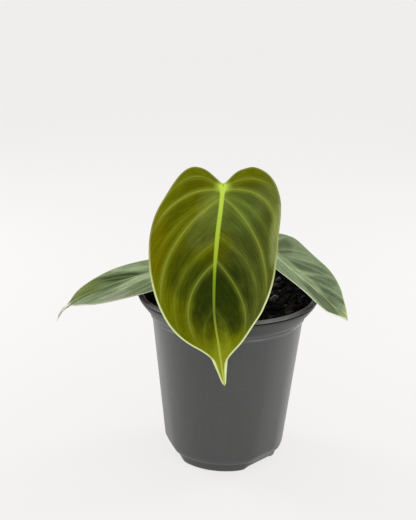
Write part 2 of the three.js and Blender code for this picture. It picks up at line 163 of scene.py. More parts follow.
SIDE_LOBE = ((0, -0.015), (0.15, -0.075), (0.34, -0.13), (0.54, -0.14))
LEFT_LEAF_BACK = (
    *SIDE_LOBE, (0.74, -0.09), (0.84, 0.01),
    (0.88, 0.12), (0.92, 0.28), (0.97, 0.38), (1, 0.47), (0.975, 0.55), (0.885, 0.615),
    (0.785, 0.672), (0.69, 0.73), (0.595, 0.79), (0.49, 0.853), (0.35, 0.915), (0.2, 0.955),
    (0.09, 0.985), (0, 1),
)
LEFT_LEAF_FRONT = (
    *SIDE_LOBE, (0.74, -0.09), (0.89, 0.01),
    (0.96, 0.11), (0.995, 0.24), (0.98, 0.36), (0.93, 0.48), (0.855, 0.59), (0.75, 0.69),
    (0.615, 0.78), (0.445, 0.855), (0.28, 0.92), (0.13, 0.962), (0.05, 0.985), (0, 1),
)
RIGHT_LEAF_FRONT = (
    *SIDE_LOBE, (0.74, -0.09), (0.87, 0.01),
    (0.92, 0.11), (0.95, 0.24), (0.95, 0.36), (0.925, 0.48), (0.9, 0.59), (0.86, 0.68),
    (0.72, 0.755), (0.54, 0.805), (0.37, 0.855), (0.21, 0.91), (0.1, 0.955), (0.04, 0.985), (0, 1),
)
RIGHT_LEAF_BACK = (
    *SIDE_LOBE, (0.75, -0.095), (0.895, -0.03),
    (0.975, 0.02), (1, 0.09), (1, 0.2), (1, 0.35), (0.995, 0.45), (0.96, 0.54), (0.87, 0.65),
    (0.76, 0.73), (0.64, 0.795), (0.49, 0.85), (0.29, 0.93), (0.15, 0.97), (0.05, 0.99), (0, 1),
)

# What the two grown leaves share
GROWN_LEAF = {
    "veins": (SIDE_VEINS, SIDE_VEINS),
    "quilt": 0.6,
    "wave": 0.35,
    "rib": ((0, 1), (20, 0.6), (60, 0.3)),
}

# Each leaf: the midrib from the stalk's joint to the tip, the direction across the blade, and the
# blade's cross section. Pairs of values are for the two sides, negative and positive along `across`.
# The quilt is how far the fields between the veins puff up, the wave is that of the margin, and the rib
# is the midrib's half width at distances along it.
LEAVES = {
    "front": {
        "midrib": (
            (-5, -29, 168.5), (-6, -40, 159.5), (-7.5, -50, 147), (-8.5, -57, 128),
            (-8, -60.5, 108), (-5, -60.5, 89.5), (-1.5, -57.5, 66.5),
        ),
        "across": 90,
        "half_width": 35,
        "outlines": (FRONT_LEAF_LEFT, FRONT_LEAF_RIGHT),
        "fold": (0, 0),
        "arch": (0.004, 0.004),
        "roll": 0,
        "twist": 0,
        "veins": (FRONT_VEINS_LEFT, FRONT_VEINS_RIGHT),
        "quilt": 0.4,
        "wave": 0.25,
        "rib": ((0, 1.05), (34, 1), (50, 0.7), (80, 0.5), (113, 0.35)),
        "stalk": {"angle": -8, "height": 103, "rise": 70, "bend": ((1.5, -4, 125), (-0.5, -10, 148))},
    },
    "left": {
        "midrib": ((-23, 2.5, 116), (-74, -4, 100), (-91.5, -6, 89.7)),
        "tail": (-97.5, -8, 81),
        "across": 7,
        "half_width": 27.5,
        "outlines": (LEFT_LEAF_BACK, LEFT_LEAF_FRONT),
        "fold": (0, 0),
        "arch": (0.0022, 0.001),
        "roll": 2,
        "twist": -10,
        **GROWN_LEAF,
        "stalk": {"angle": -100, "height": 96.5, "rise": 35, "bend": ((-12, 3.2, 104),)},
    },
    "right": {
        "midrib": ((23, -1, 124), (48, -16, 107.5), (66.5, -21.5, 91.5)),
        "across": 135,
        "half_width": 26.5,
        "outlines": (RIGHT_LEAF_FRONT, RIGHT_LEAF_BACK),
        "fold": (0.47, 0.02),
        "arch": (0.0002, 0.0013),
        "roll": -1,
        "twist": -14,
        **GROWN_LEAF,
        "stalk": {"angle": 80, "height": 98, "rise": 45, "bend": ((14, 2.5, 108),)},
    },
}

# Camera: the point looked at, in millimetres
AIM = (-12, 0, 117.66)
SENSOR_WIDTH = 36

# Sockets of a Mix node set to colours
MIX_FACTOR, MIX_A, MIX_B, MIX_RESULT = 0, 6, 7, 2

# What a layer of colour covers: a value that is a share from 0 to 1, or else a value with the two
# places where the share is 0 and at its top, the top itself and the curve between them
Mask = namedtuple("Mask", "value empty full top curve", defaults=(None, None, 1, "LINEAR"))
SMOOTH = "SMOOTHSTEP"


def linear(colour):
    """sRGB hex colour as linear red, green and blue"""
    channels = [int(colour[n:n + 2], 16) / 255 for n in (0, 2, 4)]
    return tuple(c / 12.92 if c <= 0.04045 else ((c + 0.055) / 1.055) ** 2.4 for c in channels)


def colour_prop(name, description, colour):
    """Property that holds a colour, given as sRGB hex"""
    return FloatVectorProperty(
        name=name, description=description, default=linear(colour), min=0, max=1, subtype="COLOR",
    )


def length_prop(name, description, default, least, most):
    """Property that holds a length, given in millimetres"""
    return FloatProperty(
        name=name, description=description, default=default * MM, min=least * MM, max=most * MM,
        precision=4, unit="LENGTH",
    )


class PotProperties(bpy.types.PropertyGroup):
    wall: length_prop("Wall", "Thickness of the moulded wall", 1.2, 0.6, 3)
    lip: length_prop("Lip", "Thickness of the lip's edge, seen from above", 3.5, 1.5, 4.5)
    bead: length_prop("Bead", "Height of the two moulded rings at the collar's foot", 0.35, 0, 1)
    plastic: colour_prop("Plastic", "Colour of the moulded plastic", "3a3c3b")
    # Colour of scuffs and dust, and also of the painted highlight on the lip's top and the collar ring
    scuff_and_highlight: colour_prop("Scuffs", "Colour of rubbed places and dust on the plastic", "707574")
    # Painted shade: the near-black that darkens the pot where little light reaches, and its inner wall
    shade_black: colour_prop("Soiled", "Colour of potting mix that clings to the plastic", "0d0c0b")


class SoilProperties(bpy.types.PropertyGroup):
    crumbs: IntProperty(
        name="Crumbs", description="Number of loose crumbs on the potting mix",
        default=1700, min=0, max=4000,
    )
    crumb_size: length_prop("Crumb size", "Radius of a common crumb", 0.85, 0.2, 3)
    chips: IntProperty(
        name="Bark chips", description="Number of flat bark chips",
        default=90, min=0, max=400,
    )
    chip_size: length_prop("Chip size", "Half length of a common bark chip", 2.1, 0.5, 6)
    peat: colour_prop("Peat", "Colour of the damp peat", "0d0c0b")
    bark: colour_prop("Bark", "Colour of the bark chips", "27241f")
    grit: colour_prop("Grit", "Colour of the few pale chips and grains", "5c5e50")


class StemProperties(bpy.types.PropertyGroup):
    stem_radius: length_prop("Stem", "Radius of the short main stem at its nodes", 4, 2, 4.2)
    stalk_radius: length_prop("Stalk", "Radius of a leaf stalk at its middle", 1.6, 0.8, 2)
    green: colour_prop("Green", "Colour of the stalks' upper part", "94a547")
    red: colour_prop("Red", "Colour that the stalks blush towards their foot", "7a4a34")


class LeafProperties(bpy.types.PropertyGroup):
    thickness: length_prop("Thickness", "Thickness of a blade between its veins", 0.5, 0.3, 0.9)
    groove: length_prop("Vein groove", "Depth of the main veins in the upper face", 0.28, 0, 0.6)
    ridge: length_prop("Rib", "Height of the midrib under the blade at the stalk", 1.1, 0, 2)
    young: colour_prop("Young blade", "Olive green of the young front blade", "626702")
    young_deep: colour_prop("Young blade, deep", "Dark green low on the young blade", "303d0a")
    young_warm: colour_prop("Young blade, warm", "Bronze yellow near the young blade's edge", "6c6900")
    # The grown blades' green is made paler and greyer, as painted sheen
    grown: colour_prop("Grown blades", "Silver green of the grown side blades", "687755")
    # Painted shade: the dark hollows of the side blades
    grown_shade: colour_prop("Grown blades, deep", "Dark olive hollows of the side blades", "2a3a06")
    # Painted sheen on the side blades' crests, also the pale band along the right blade's midrib
    grown_pale_and_sheen: colour_prop("Grown blades, pale", "Silver of the side blades' crests", "8d9f76")
    underside: colour_prop("Underside", "Wine red of the blades' lower face", "5e2a30")


class StageProperties(bpy.types.PropertyGroup):
    acrylic: colour_prop("Floor", "Colour of the opal acrylic table top", "615f5d")
    glow: FloatProperty(
        name="Table glow", description="Brightness of the table top, lit from below",
        default=0.755, min=0, max=3,
    )
    room: FloatProperty(
        name="Room light", description="Brightness of the even light from all round",
        default=0.9, min=0, max=3,
    )
    softbox: FloatProperty(
        name="Softbox", description="Power of the large soft light above the front",
        default=2.4, min=0, max=50, unit="POWER",
    )
    strip: FloatProperty(
        name="Strip lights", description="Power of each tall soft light beside the pot",
        default=5, min=0, max=50, unit="POWER",
    )
    distance: FloatProperty(
        name="Distance", description="Camera's distance from the point that it looks at",
        default=650 * MM, min=0.1, max=5, unit="LENGTH",
    )
    elevation: FloatProperty(
        name="Elevation", description="Angle by which the camera looks down",
        default=math.radians(18.758), min=0, max=math.pi / 2, unit="ROTATION",
    )
    roll: FloatProperty(
        name="Roll", description="Camera's turn about its own axis",
        default=math.radians(1.409), min=-math.pi, max=math.pi, unit="ROTATION",
    )
    lens: FloatProperty(
        name="Lens", description="Focal length on a sensor whose long side is 36 mm",
        default=79.48, min=10, max=300, unit="CAMERA",
    )


def around(radius, degrees, z=0.0, x=0.0, y=0.0):
    """Points at a radius and angle round an upright axis"""
    angle = np.radians(degrees)
    columns = np.broadcast_arrays(x + radius * np.sin(angle), y - radius * np.cos(angle), z)
    return np.stack(columns, axis=-1)


def smooth_step(value, low, high):
    """0 below low, 1 above high and an even curve between them"""
    share = np.clip((value - low) / (high - low), 0, 1)
    return share * share * (3 - 2 * share)


def unit(vectors):
    return vectors / np.linalg.norm(vectors, axis=-1, keepdims=True)


class Line:
    """Smooth line through points, walked by the distance along it. Power 0 spaces its bends evenly
    from point to point, and 0.5 by the points' distances."""

    def __init__(self, points, power=0.0, steps=60):
        points = np.array(points, float)
        padded = np.vstack([2 * points[:1] - points[1:2], points, 2 * points[-1:] - points[-2:-1]])
        spans = np.linalg.norm(np.diff(padded, axis=0), axis=1) ** power
        t = np.linspace(0, 1, steps, endpoint=False)[:, None]
        pieces = []
        for n in range(len(points) - 1):
            a, b, c, d = padded[n:n + 4]
            before, here, after = spans[n:n + 3]
            leave = here * ((b - a) / before - (c - a) / (before + here) + (c - b) / here)
            arrive = here * ((c - b) / here - (d - b) / (here + after) + (d - c) / after)
            square = 3 * (c - b) - 2 * leave - arrive
            pieces.append(b + leave * t + square * t**2 + (2 * (b - c) + leave + arrive) * t**3)
        self.points = np.vstack(pieces + [points[-1:]])
        self.reach = np.append(0, np.cumsum(np.linalg.norm(np.diff(self.points, axis=0), axis=1)))
        self.length = self.reach[-1]
        self.slopes = unit(np.gradient(self.points, self.reach, axis=0))

    def at(self, distance):
        return np.stack([np.interp(distance, self.reach, c) for c in self.points.T], axis=-1)

    def direction(self, distance):
        return unit(np.stack([np.interp(distance, self.reach, c) for c in self.slopes.T], axis=-1))


def nearest(points, line):
    """Distance of each flat point from a line of points, and where along the line that is, from 0 to 1"""
    starts, runs = line[:-1], np.diff(line, axis=0)
    away = points[..., None, :] - starts
    share = np.clip((away * runs).sum(-1) / np.maximum((runs**2).sum(-1), 1e-9), 0, 1)
    distances = np.linalg.norm(away - share[..., None] * runs, axis=-1)
    best = distances.argmin(-1)
    position = best + np.take_along_axis(share, best[..., None], -1)[..., 0]
    return distances.min(-1), position / len(runs)


class Skin:
    """Skin of one piece, gathered from nets of points that meet along their edges. Each point keeps
    the values named for it, and points in the same place become one."""

    def __init__(self):
        self.points = []
        self.values = {}
        self.faces = []
        self.finishes = []
        self.count = 0

    def add(self, points, faces, finish=0, values=None):
        """Adds points with faces that name them by their place in the list"""
        points = np.asarray(points, float).reshape(-1, 3)
        for name in set(self.values) | set(values or {}):
            column = np.zeros(len(points))
            if values and name in values:
                column = np.broadcast_to(np.ravel(values[name]), len(points))
            self.values.setdefault(name, [np.zeros(self.count)] if self.count else []).append(column)
        self.faces += [[self.count + corner for corner in face] for face in faces]
        self.finishes += [finish] * len(faces)
        self.points.append(points)
        self.count += len(points)

    def net(self, points, finish=0, closed=False, left_out=None, values=None):
        """Skins the surface between rows of points. A closed net joins its last row to its first."""
        rows, columns = points.shape[:2]
        index = np.arange(rows * columns).reshape(rows, columns)
        if closed:
            index = np.vstack([index, index[:1]])
        quads = np.stack([index[:-1, :-1], index[1:, :-1], index[1:, 1:], index[:-1, 1:]], axis=-1)
        if left_out is not None:
            quads = quads[~left_out]
        self.add(points, quads.reshape(-1, 4).tolist(), finish, values)

    def build(self, name, materials, sharp_degrees=180, maps=()):
        """Makes the Blender object. Each map is its name and the two values it is drawn from."""
        points = np.vstack(self.points)
        _, first, same = np.unique(np.round(points, 4), axis=0, return_index=True, return_inverse=True)
        same = same.ravel()
        faces, finishes = [], []
        for face, finish in zip(self.faces, self.finishes):
            corners = list(dict.fromkeys(int(same[corner]) for corner in face))
            if len(corners) > 2:
                faces.append(corners)
                finishes.append(finish)
        mesh = bpy.data.meshes.new(name)
        mesh.from_pydata((points[first] * MM).tolist(), [], faces)
        values = {key: np.concatenate(columns)[first] for key, columns in self.values.items()}
        for key, column in values.items():
            mesh.attributes.new(key, "FLOAT", "POINT").data.foreach_set("value", column)
        for key, first_axis, second_axis in maps:
            corners = np.empty(len(mesh.loops), np.int32)
            mesh.loops.foreach_get("vertex_index", corners)
            flat = np.stack([values[first_axis], values[second_axis]], axis=-1)[corners]
            mesh.uv_layers.new(name=key).uv.foreach_set("vector", flat.ravel())
        for material in materials:
            mesh.materials.append(material)
        mesh.polygons.foreach_set("material_index", finishes)
        mesh.polygons.foreach_set("use_smooth", [True] * len(faces))
        shell = bmesh.new()
        shell.from_mesh(mesh)
        bmesh.ops.recalc_face_normals(shell, faces=shell.faces)
        shell.to_mesh(mesh)
        shell.free()
        if sharp_degrees < 180:
            mesh.set_sharp_from_angle(angle=math.radians(sharp_degrees))
        piece = bpy.data.objects.new(name, mesh)
        bpy.context.scene.collection.objects.link(piece)
        return piece


def seat(piece, slot, *nodes):
    """Puts a piece on the plant's one body, in the place of the nodes that it stands for"""
    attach(piece, BODY)
    if nodes:
        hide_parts(*nodes)


def add_node(tree, kind, inputs=None, **settings):
    """Adds a shader node with its settings, and gives each input its value or its link"""
    node = tree.nodes.new("ShaderNode" + kind)
    for setting, value in settings.items():
        setattr(node, setting, value)
    for socket, value in (inputs or {}).items():
        if isinstance(value, bpy.types.NodeSocket):
            tree.links.new(value, node.inputs[socket])
        else:
            node.inputs[socket].default_value = value
    return node


def new_material(name):
    material = bpy.data.materials.new(name)
    material.use_nodes = True
    material.node_tree.nodes.clear()
    return material, material.node_tree


def opaque(colour):
    return (*colour, 1)


def layered(tree, colour, layers):
    """Lays tints over a colour, each as far as the product of its masks. A tint that is a plain number
    makes what lies under it that much darker or brighter."""
    for tint, *masks in layers:
        covered = None
        for value, empty, full, top, curve in (Mask(*mask) for mask in masks):
            if full is not None:
                value = add_node(tree, "MapRange", {
                    "Value": value, "From Min": empty, "From Max": full, "To Max": top,
                }, interpolation_type=curve).outputs["Result"]
            if covered is not None:
                value = add_node(tree, "Math", {0: covered, 1: value}, operation="MULTIPLY").outputs[0]
            covered = value
        mixing = "MIX"
        if isinstance(tint, float):
            mixing = "MULTIPLY"
            tint = (tint, tint, tint)
        if not isinstance(tint, bpy.types.NodeSocket):
            tint = opaque(tint)
        colour = add_node(tree, "Mix", {
            MIX_FACTOR: covered, MIX_A: colour, MIX_B: tint,
        }, data_type="RGBA", blend_type=mixing).outputs[MIX_RESULT]
    return colour


def moulded_polypropylene(sizes):
    """Thermoformed polypropylene: an even satin charcoal, with faint upright flow marks from the
    drawing of the sheet, scuffs and a little dust where hands have been. The lip's top and the collar
    ring are rubbed dull and painted pale as a highlight, and painted shade darkens the lip's groove,
    the flare, the foot and the facets. The sheet's smooth skin lies over it like a thin coat, which
    brightens its sides."""
    material, tree = new_material("Moulded polypropylene")
    place = add_node(tree, "TexCoord").outputs["Object"]
    # Flow marks are about 2 mm wide and run the height of the wall
    upright = add_node(tree, "Mapping", {"Vector": place, "Scale": (1, 1, 0.04)}).outputs[0]
    flow = add_node(tree, "TexNoise", {"Vector": upright, "Scale": 1 / (2 * MM), "Detail": 3})
    flow = flow.outputs["Fac"]
    blotch = add_node(tree, "TexNoise", {"Vector": place, "Scale": 1 / (28 * MM), "Detail": 2})
    # The sheet's grain is about 0.1 mm, drawn at 0.5 mm so that it shows
    grain = add_node(tree, "TexNoise", {"Vector": place, "Scale": 1 / (0.5 * MM), "Detail": 2})
    # Scuffs lie across the wall, about 0.9 mm wide and 9 mm long
    level = add_node(tree, "Mapping", {"Vector": place, "Scale": (0.1, 0.1, 1)}).outputs[0]
    rubs = add_node(tree, "TexNoise", {"Vector": level, "Scale": 1 / (0.9 * MM), "Detail": 3})
    rubs = rubs.outputs["Fac"]
    height = add_node(tree, "SeparateXYZ", {"Vector": place}).outputs["Z"]
    wear = add_node(tree, "Attribute", attribute_name="wear").outputs["Fac"]
    stain = add_node(tree, "Attribute", attribute_name="stain").outputs["Fac"]
    # Dust gathers near the top of the pot
    dusty = (height, 0.85 * POT_HEIGHT * MM, 0.97 * POT_HEIGHT * MM, 0.05)
    colour = layered(tree, opaque(sizes.plastic), (
        (tuple(0.82 * c for c in sizes.plastic), (blotch.outputs["Fac"],)),
        (tuple(1.22 * c for c in sizes.plastic), (flow,)),
        (sizes.scuff_and_highlight, (rubs, 0.64, 0.78, 0.22)),
        (sizes.scuff_and_highlight, dusty),
        # Painted highlight on the lip's top and the collar ring, where the plastic is also rubbed dull
        (sizes.scuff_and_highlight, (wear,), (rubs, 0.2, 0.6)),
        # Painted shade, near-black where little light reaches
        (sizes.shade_black, (stain,)),
    ))
    satin = add_node(tree, "MapRange", {"Value": flow, "To Min": 0.3, "To Max": 0.42})
    # Rubbing and the painted shade dull the plastic
    rubbed, shade_dulled = (
        add_node(tree, "MapRange", {"Value": value, "From Max": full, "To Max": top}).outputs["Result"]
        for value, full, top in ((wear, 0.5, 0.45), (stain, 0.6, 0.3))
    )
    dulled = add_node(tree, "Math", {0: rubbed, 1: shade_dulled}, operation="MAXIMUM")
    roughness = add_node(tree, "Math", {
        0: satin.outputs["Result"], 1: dulled.outputs["Value"],
    }, operation="ADD")
    bump = add_node(tree, "Bump", {"Height": flow, "Strength": 0.1, "Distance": 0.3 * MM})
    bump = add_node(tree, "Bump", {
        "Height": grain.outputs["Fac"], "Strength": 0.12, "Distance": 0.06 * MM,
        "Normal": bump.outputs["Normal"],
    })
    surface = add_node(tree, "BsdfPrincipled", {
        "Base Color": colour, "Roughness": roughness.outputs["Value"], "IOR": 1.49,
        "Normal": bump.outputs["Normal"], "Coat Weight": 0.3, "Coat Roughness": 0.3,
        "Coat IOR": 1.5,
    })
    add_node(tree, "OutputMaterial", {"Surface": surface.outputs["BSDF"]})
    return material


def damp_mix(name, main, fleck, gloss):
    """Damp potting mix: peat, bark or grit, dull and open, each crumb of its own shade. The shade
    comes from the crumb, and the flecks from fibres of about 0.7 mm."""
    material, tree = new_material(name)
    place = add_node(tree, "TexCoord").outputs["Object"]
    shade = add_node(tree, "Attribute", attribute_name="shade").outputs["Fac"]
    fibres = add_node(tree, "TexNoise", {"Vector": place, "Scale": 1 / (0.7 * MM), "Detail": 4})
    colour = layered(tree, opaque(0.5 * c for c in main), (
        (tuple(1.8 * c for c in main), (shade,)),
        (fleck, (fibres.outputs["Fac"], 0.55, 0.75, 0.6)),
    ))
    bump = add_node(tree, "Bump", {
        "Height": fibres.outputs["Fac"], "Strength": 0.8, "Distance": 0.5 * MM,
    })
    surface = add_node(tree, "BsdfPrincipled", {
        "Base Color": colour, "Roughness": 0.95, "IOR": 1.4, "Specular IOR Level": gloss,
        "Normal": bump.outputs["Normal"],
    })
    add_node(tree, "OutputMaterial", {"Surface": surface.outputs["BSDF"]})
    return material


def stalk_skin(name, sizes, low, high):
    """Fleshy plant skin with short bristles: green and matt above, blushed red below, with fine
    streaks along it and pale warts that catch the light."""
    material, tree = new_material(name)
    place = add_node(tree, "TexCoord").outputs["Object"]
    height = add_node(tree, "SeparateXYZ", {"Vector": place}).outputs["Z"]
    # Streaks are about 0.8 mm wide and 8 mm long
    upright = add_node(tree, "Mapping", {"Vector": place, "Scale": (1, 1, 0.1)}).outputs[0]
    streaks = add_node(tree, "TexNoise", {"Vector": upright, "Scale": 1 / (0.8 * MM), "Detail": 3})
    warts = add_node(tree, "TexVoronoi", {"Vector": place, "Scale": 1 / (0.9 * MM)})
    warty = add_node(tree, "MapRange", {
        "Value": warts.outputs["Distance"], "From Min": 0.28, "From Max": 0.1, "To Max": 0.5,
    }).outputs["Result"]
    colour = layered(tree, opaque(sizes.green), (
        (sizes.red, (height, high * MM, low * MM, 0.75, SMOOTH)),
        (linear("5f6f28"), (streaks.outputs["Fac"], 0.4, 0.7, 0.45)),
        (linear("c3c583"), (warty,)),
    ))
    bump = add_node(tree, "Bump", {"Height": warty, "Strength": 0.5, "Distance": 0.2 * MM})
    surface = add_node(tree, "BsdfPrincipled", {
        "Base Color": colour, "Roughness": 0.6, "IOR": 1.45, "Specular IOR Level": 0.35,
        "Normal": bump.outputs["Normal"], "Sheen Weight": 0.2,
        "Sheen Tint": opaque(linear("c9cf9a")),
    })
    add_node(tree, "OutputMaterial", {"Surface": surface.outputs["BSDF"]})
    return material


def velvet(name, body, patches, cells, vein, midrib, margin, tip, bands, pile_glow, gloss):
    """Velvet blade: a pile of very short upright cells that drinks light face on and glows soft at a
    slant, with hairless pale veins, a pale thin margin and a paler drip tip. Each patch is a soft
    ellipse on the flat blade: middle, half sizes and turn, then its strength and its tint. The cells
    are how much darker it is between the veins. The margin is its colour, where along the blade it
    grows clear and how wide it is, and the bands are the length, breadth and strength of the lighter
    and darker stripes between the veins, in millimetres."""
    material, tree = new_material(name)
    flat = add_node(tree, "UVMap", uv_map="flat").outputs["UV"]
    ribbed = add_node(tree, "UVMap", uv_map="ribbed").outputs["UV"]
    place = add_node(tree, "TexCoord").outputs["Object"]
    marks = {
        mark: add_node(tree, "Attribute", attribute_name=mark).outputs["Fac"]
        for mark in ("gap", "strength", "aside", "margin", "joint", "along", "share")
    }
    # Clouds of colour are about 9 mm, the ribs' streaks about 1 mm wide, and the pile 0.35 mm
    clouds = add_node(tree, "TexNoise", {"Vector": flat, "Scale": 1 / 9, "Detail": 3}).outputs["Fac"]
    fine = add_node(tree, "Mapping", {"Vector": ribbed, "Scale": (1 / 9, 1 / 1.1, 1)}).outputs[0]
    streaks = add_node(tree, "TexNoise", {"Vector": fine, "Scale": 1, "Detail": 3}).outputs["Fac"]
    broad = add_node(tree, "Mapping", {
        "Vector": ribbed, "Scale": (1 / bands[0], 1 / bands[1], 1),
    }).outputs[0]
    stripes = add_node(tree, "TexNoise", {"Vector": broad, "Scale": 1, "Detail": 1}).outputs["Fac"]
    pile = add_node(tree, "TexNoise", {"Vector": place, "Scale": 1 / (0.35 * MM), "Detail": 2})
    hatched = add_node(tree, "Mapping", {"Vector": flat, "Scale": (1 / 6, 1 / 0.9, 1)}).outputs[0]
    hatch = add_node(tree, "TexNoise", {"Vector": hatched, "Scale": 1, "Detail": 2}).outputs["Fac"]
    layers = []
    for middle, half_sizes, turn, strength, tint in patches:
        ellipse = add_node(tree, "Mapping", {
            "Vector": flat, "Location": (*middle, 0), "Rotation": (0, 0, math.radians(turn)),
            "Scale": (*half_sizes, 1),
        }, vector_type="TEXTURE").outputs[0]
        spot = add_node(tree, "TexGradient", {"Vector": ellipse}, gradient_type="SPHERICAL")
        ragged = add_node(tree, "Math", {0: spot.outputs["Fac"], 1: clouds}, operation="MULTIPLY")
        layers.append((tint, (ragged.outputs[0], 0, 0.25, strength, SMOOTH)))
    lime = add_node(tree, "ValToRGB", {"Fac": marks["share"]})
    stops = lime.color_ramp.elements
    while len(stops) < len(midrib):
        stops.new(0.5)
    for stop, (position, tint) in zip(stops, midrib):
        stop.position = position
        stop.color = opaque(linear(tint))
    lime = lime.outputs["Color"]
    clear = add_node(tree, "MapRange", {
        "Value": marks["along"], "From Min": margin[1][0], "From Max": margin[1][1], "To Min": 0.15,
    }).outputs["Result"]
    colour = layered(tree, opaque(body), layers + [
        # Between the veins the blade is darker, but not beside its margin
        (0.37, (marks["gap"], 0.6, 3.6, 1, SMOOTH), (marks["margin"], 2.5, 9, cells, SMOOTH)),
        (0.55, (stripes, 0.45, 0.25, bands[2])),
        (1.5, (stripes, 0.55, 0.75, bands[2])),
        (0.62, (streaks, 0.5, 0.3, 0.6)),
        (1.45, (streaks, 0.5, 0.7, 0.6)),
        (0.7, (hatch, 0.5, 0.3, 0.3)),
        (tip[0], (marks["along"], *tip[1], 0.95, SMOOTH)),
        # Each vein has a faint halo beside its drawn line
        (vein, (marks["gap"], 2.4, 0.3, 0.3, SMOOTH), (marks["strength"],)),
        (vein, (marks["gap"], 0.65, 0.12, 0.8, SMOOTH), (marks["strength"],)),
        (lime, (marks["joint"], 0.5, 0.85, 0.65, SMOOTH)),
        (lime, (marks["aside"], 1.45, 0.7, 1, SMOOTH)),
        (
            margin[0], (marks["margin"], margin[2], 0.4 * margin[2], 1, SMOOTH), (clear,),
            (marks["aside"], 0.9, 1.5),
        ),
    ])
    bump = add_node(tree, "Bump", {"Height": streaks, "Strength": 0.4, "Distance": 0.25 * MM})
    bump = add_node(tree, "Bump", {
        "Height": pile.outputs["Fac"], "Strength": 0.3, "Distance": 0.1 * MM,
        "Normal": bump.outputs["Normal"],
    })
    surface = add_node(tree, "BsdfPrincipled", {
        "Base Color": colour, "Roughness": 0.62, "IOR": 1.45, "Specular IOR Level": gloss,
        "Normal": bump.outputs["Normal"], "Sheen Weight": pile_glow[0], "Sheen Roughness": 0.35,
        "Sheen Tint": opaque(pile_glow[1]),
    })
    add_node(tree, "OutputMaterial", {"Surface": surface.outputs["BSDF"]})
    return material


def wine_red_underside(sizes):
    """Smooth leaf skin under the blade: wine red with a satin shine, and paler raised veins."""
    material, tree = new_material("Wine red underside")
    flat = add_node(tree, "UVMap", uv_map="flat").outputs["UV"]
    place = add_node(tree, "TexCoord").outputs["Object"]
    marks = {
        mark: add_node(tree, "Attribute", attribute_name=mark).outputs["Fac"]
        for mark in ("gap", "strength", "aside", "margin", "share")
    }
    clouds = add_node(tree, "TexNoise", {"Vector": flat, "Scale": 1 / 12, "Detail": 3})
    # Cells of the lower skin show as a net of about 0.6 mm
    cells = add_node(tree, "TexVoronoi", {"Vector": place, "Scale": 1 / (0.6 * MM)})
    colour = layered(tree, opaque(sizes.underside), (
        (linear("6b4a2c"), (clouds.outputs["Fac"], 0.4, 0.7, 0.55)),
        (linear("93604a"), (marks["gap"], 0.7, 0.2, 1, SMOOTH), (marks["strength"],)),
        (linear("a08a52"), (marks["aside"], 1.5, 0.8, 1, SMOOTH)),
        (linear("9a9a52"), (marks["margin"], 0.9, 0.3)),
        (linear("dcd9cc"), (marks["share"], 0.96, 1)),
    ))
    bump = add_node(tree, "Bump", {
        "Height": cells.outputs["Distance"], "Strength": 0.2, "Distance": 0.1 * MM,
    })
    surface = add_node(tree, "BsdfPrincipled", {
        "Base Color": colour, "Roughness": 0.5, "IOR": 1.45, "Specular IOR Level": 0.35,
        "Normal": bump.outputs["Normal"],
    })
    add_node(tree, "OutputMaterial", {"Surface": surface.outputs["BSDF"]})
    return material


def opal_acrylic(sizes):
    """Opal acrylic table top: matt white, lit evenly from below, so that things on it cast next to no
    shadow. Its haze is too faint to read."""
    material, tree = new_material("Opal acrylic")
    place = add_node(tree, "TexCoord").outputs["Object"]
    haze = add_node(tree, "TexNoise", {"Vector": place, "Scale": 1 / (180 * MM), "Detail": 2})
    dimmer = opaque(0.98 * c for c in sizes.acrylic)
    colour = layered(tree, dimmer, ((sizes.acrylic, (haze.outputs["Fac"],)),))
    surface = add_node(tree, "BsdfPrincipled", {
        "Base Color": colour, "Roughness": 0.9, "Specular IOR Level": 0.05,
        "Emission Color": opaque(linear("fefdfc")), "Emission Strength": sizes.glow,
    })
    add_node(tree, "OutputMaterial", {"Surface": surface.outputs["BSDF"]})
    return material


def rounded(corners, steps=4):
    """Profile with each corner [radius, height, rounding] eased off on both sides"""
    points = []
    for n, (radius, height, rounding) in enumerate(corners):
        corner = np.array([radius, height], float)
        if n in (0, len(corners) - 1) or rounding == 0:
            points.append(corner)
            continue
        before = np.array(corners[n - 1][:2]) - corner
        after = np.array(corners[n + 1][:2]) - corner
        start = corner + before * min(rounding / np.linalg.norm(before), 0.48)
        end = corner + after * min(rounding / np.linalg.norm(after), 0.48)
        for t in np.linspace(0, 1, steps):
            points.append((1 - t)**2 * start + 2 * t * (1 - t) * corner + t**2 * end)
    return np.array(points)


def with_rows(profile, radii):
    """Profile with a point added wherever its line crosses one of the radii"""
    points = [profile[0]]
    for start, end in zip(profile[:-1], profile[1:]):
        crossed = [r for r in radii if min(start[0], end[0]) < r < max(start[0], end[0])]
        for radius in sorted(crossed, reverse=start[0] > end[0]):
            points.append(start + (end - start) * (radius - start[0]) / (end[0] - start[0]))
        points.append(end)
    return np.array(points)


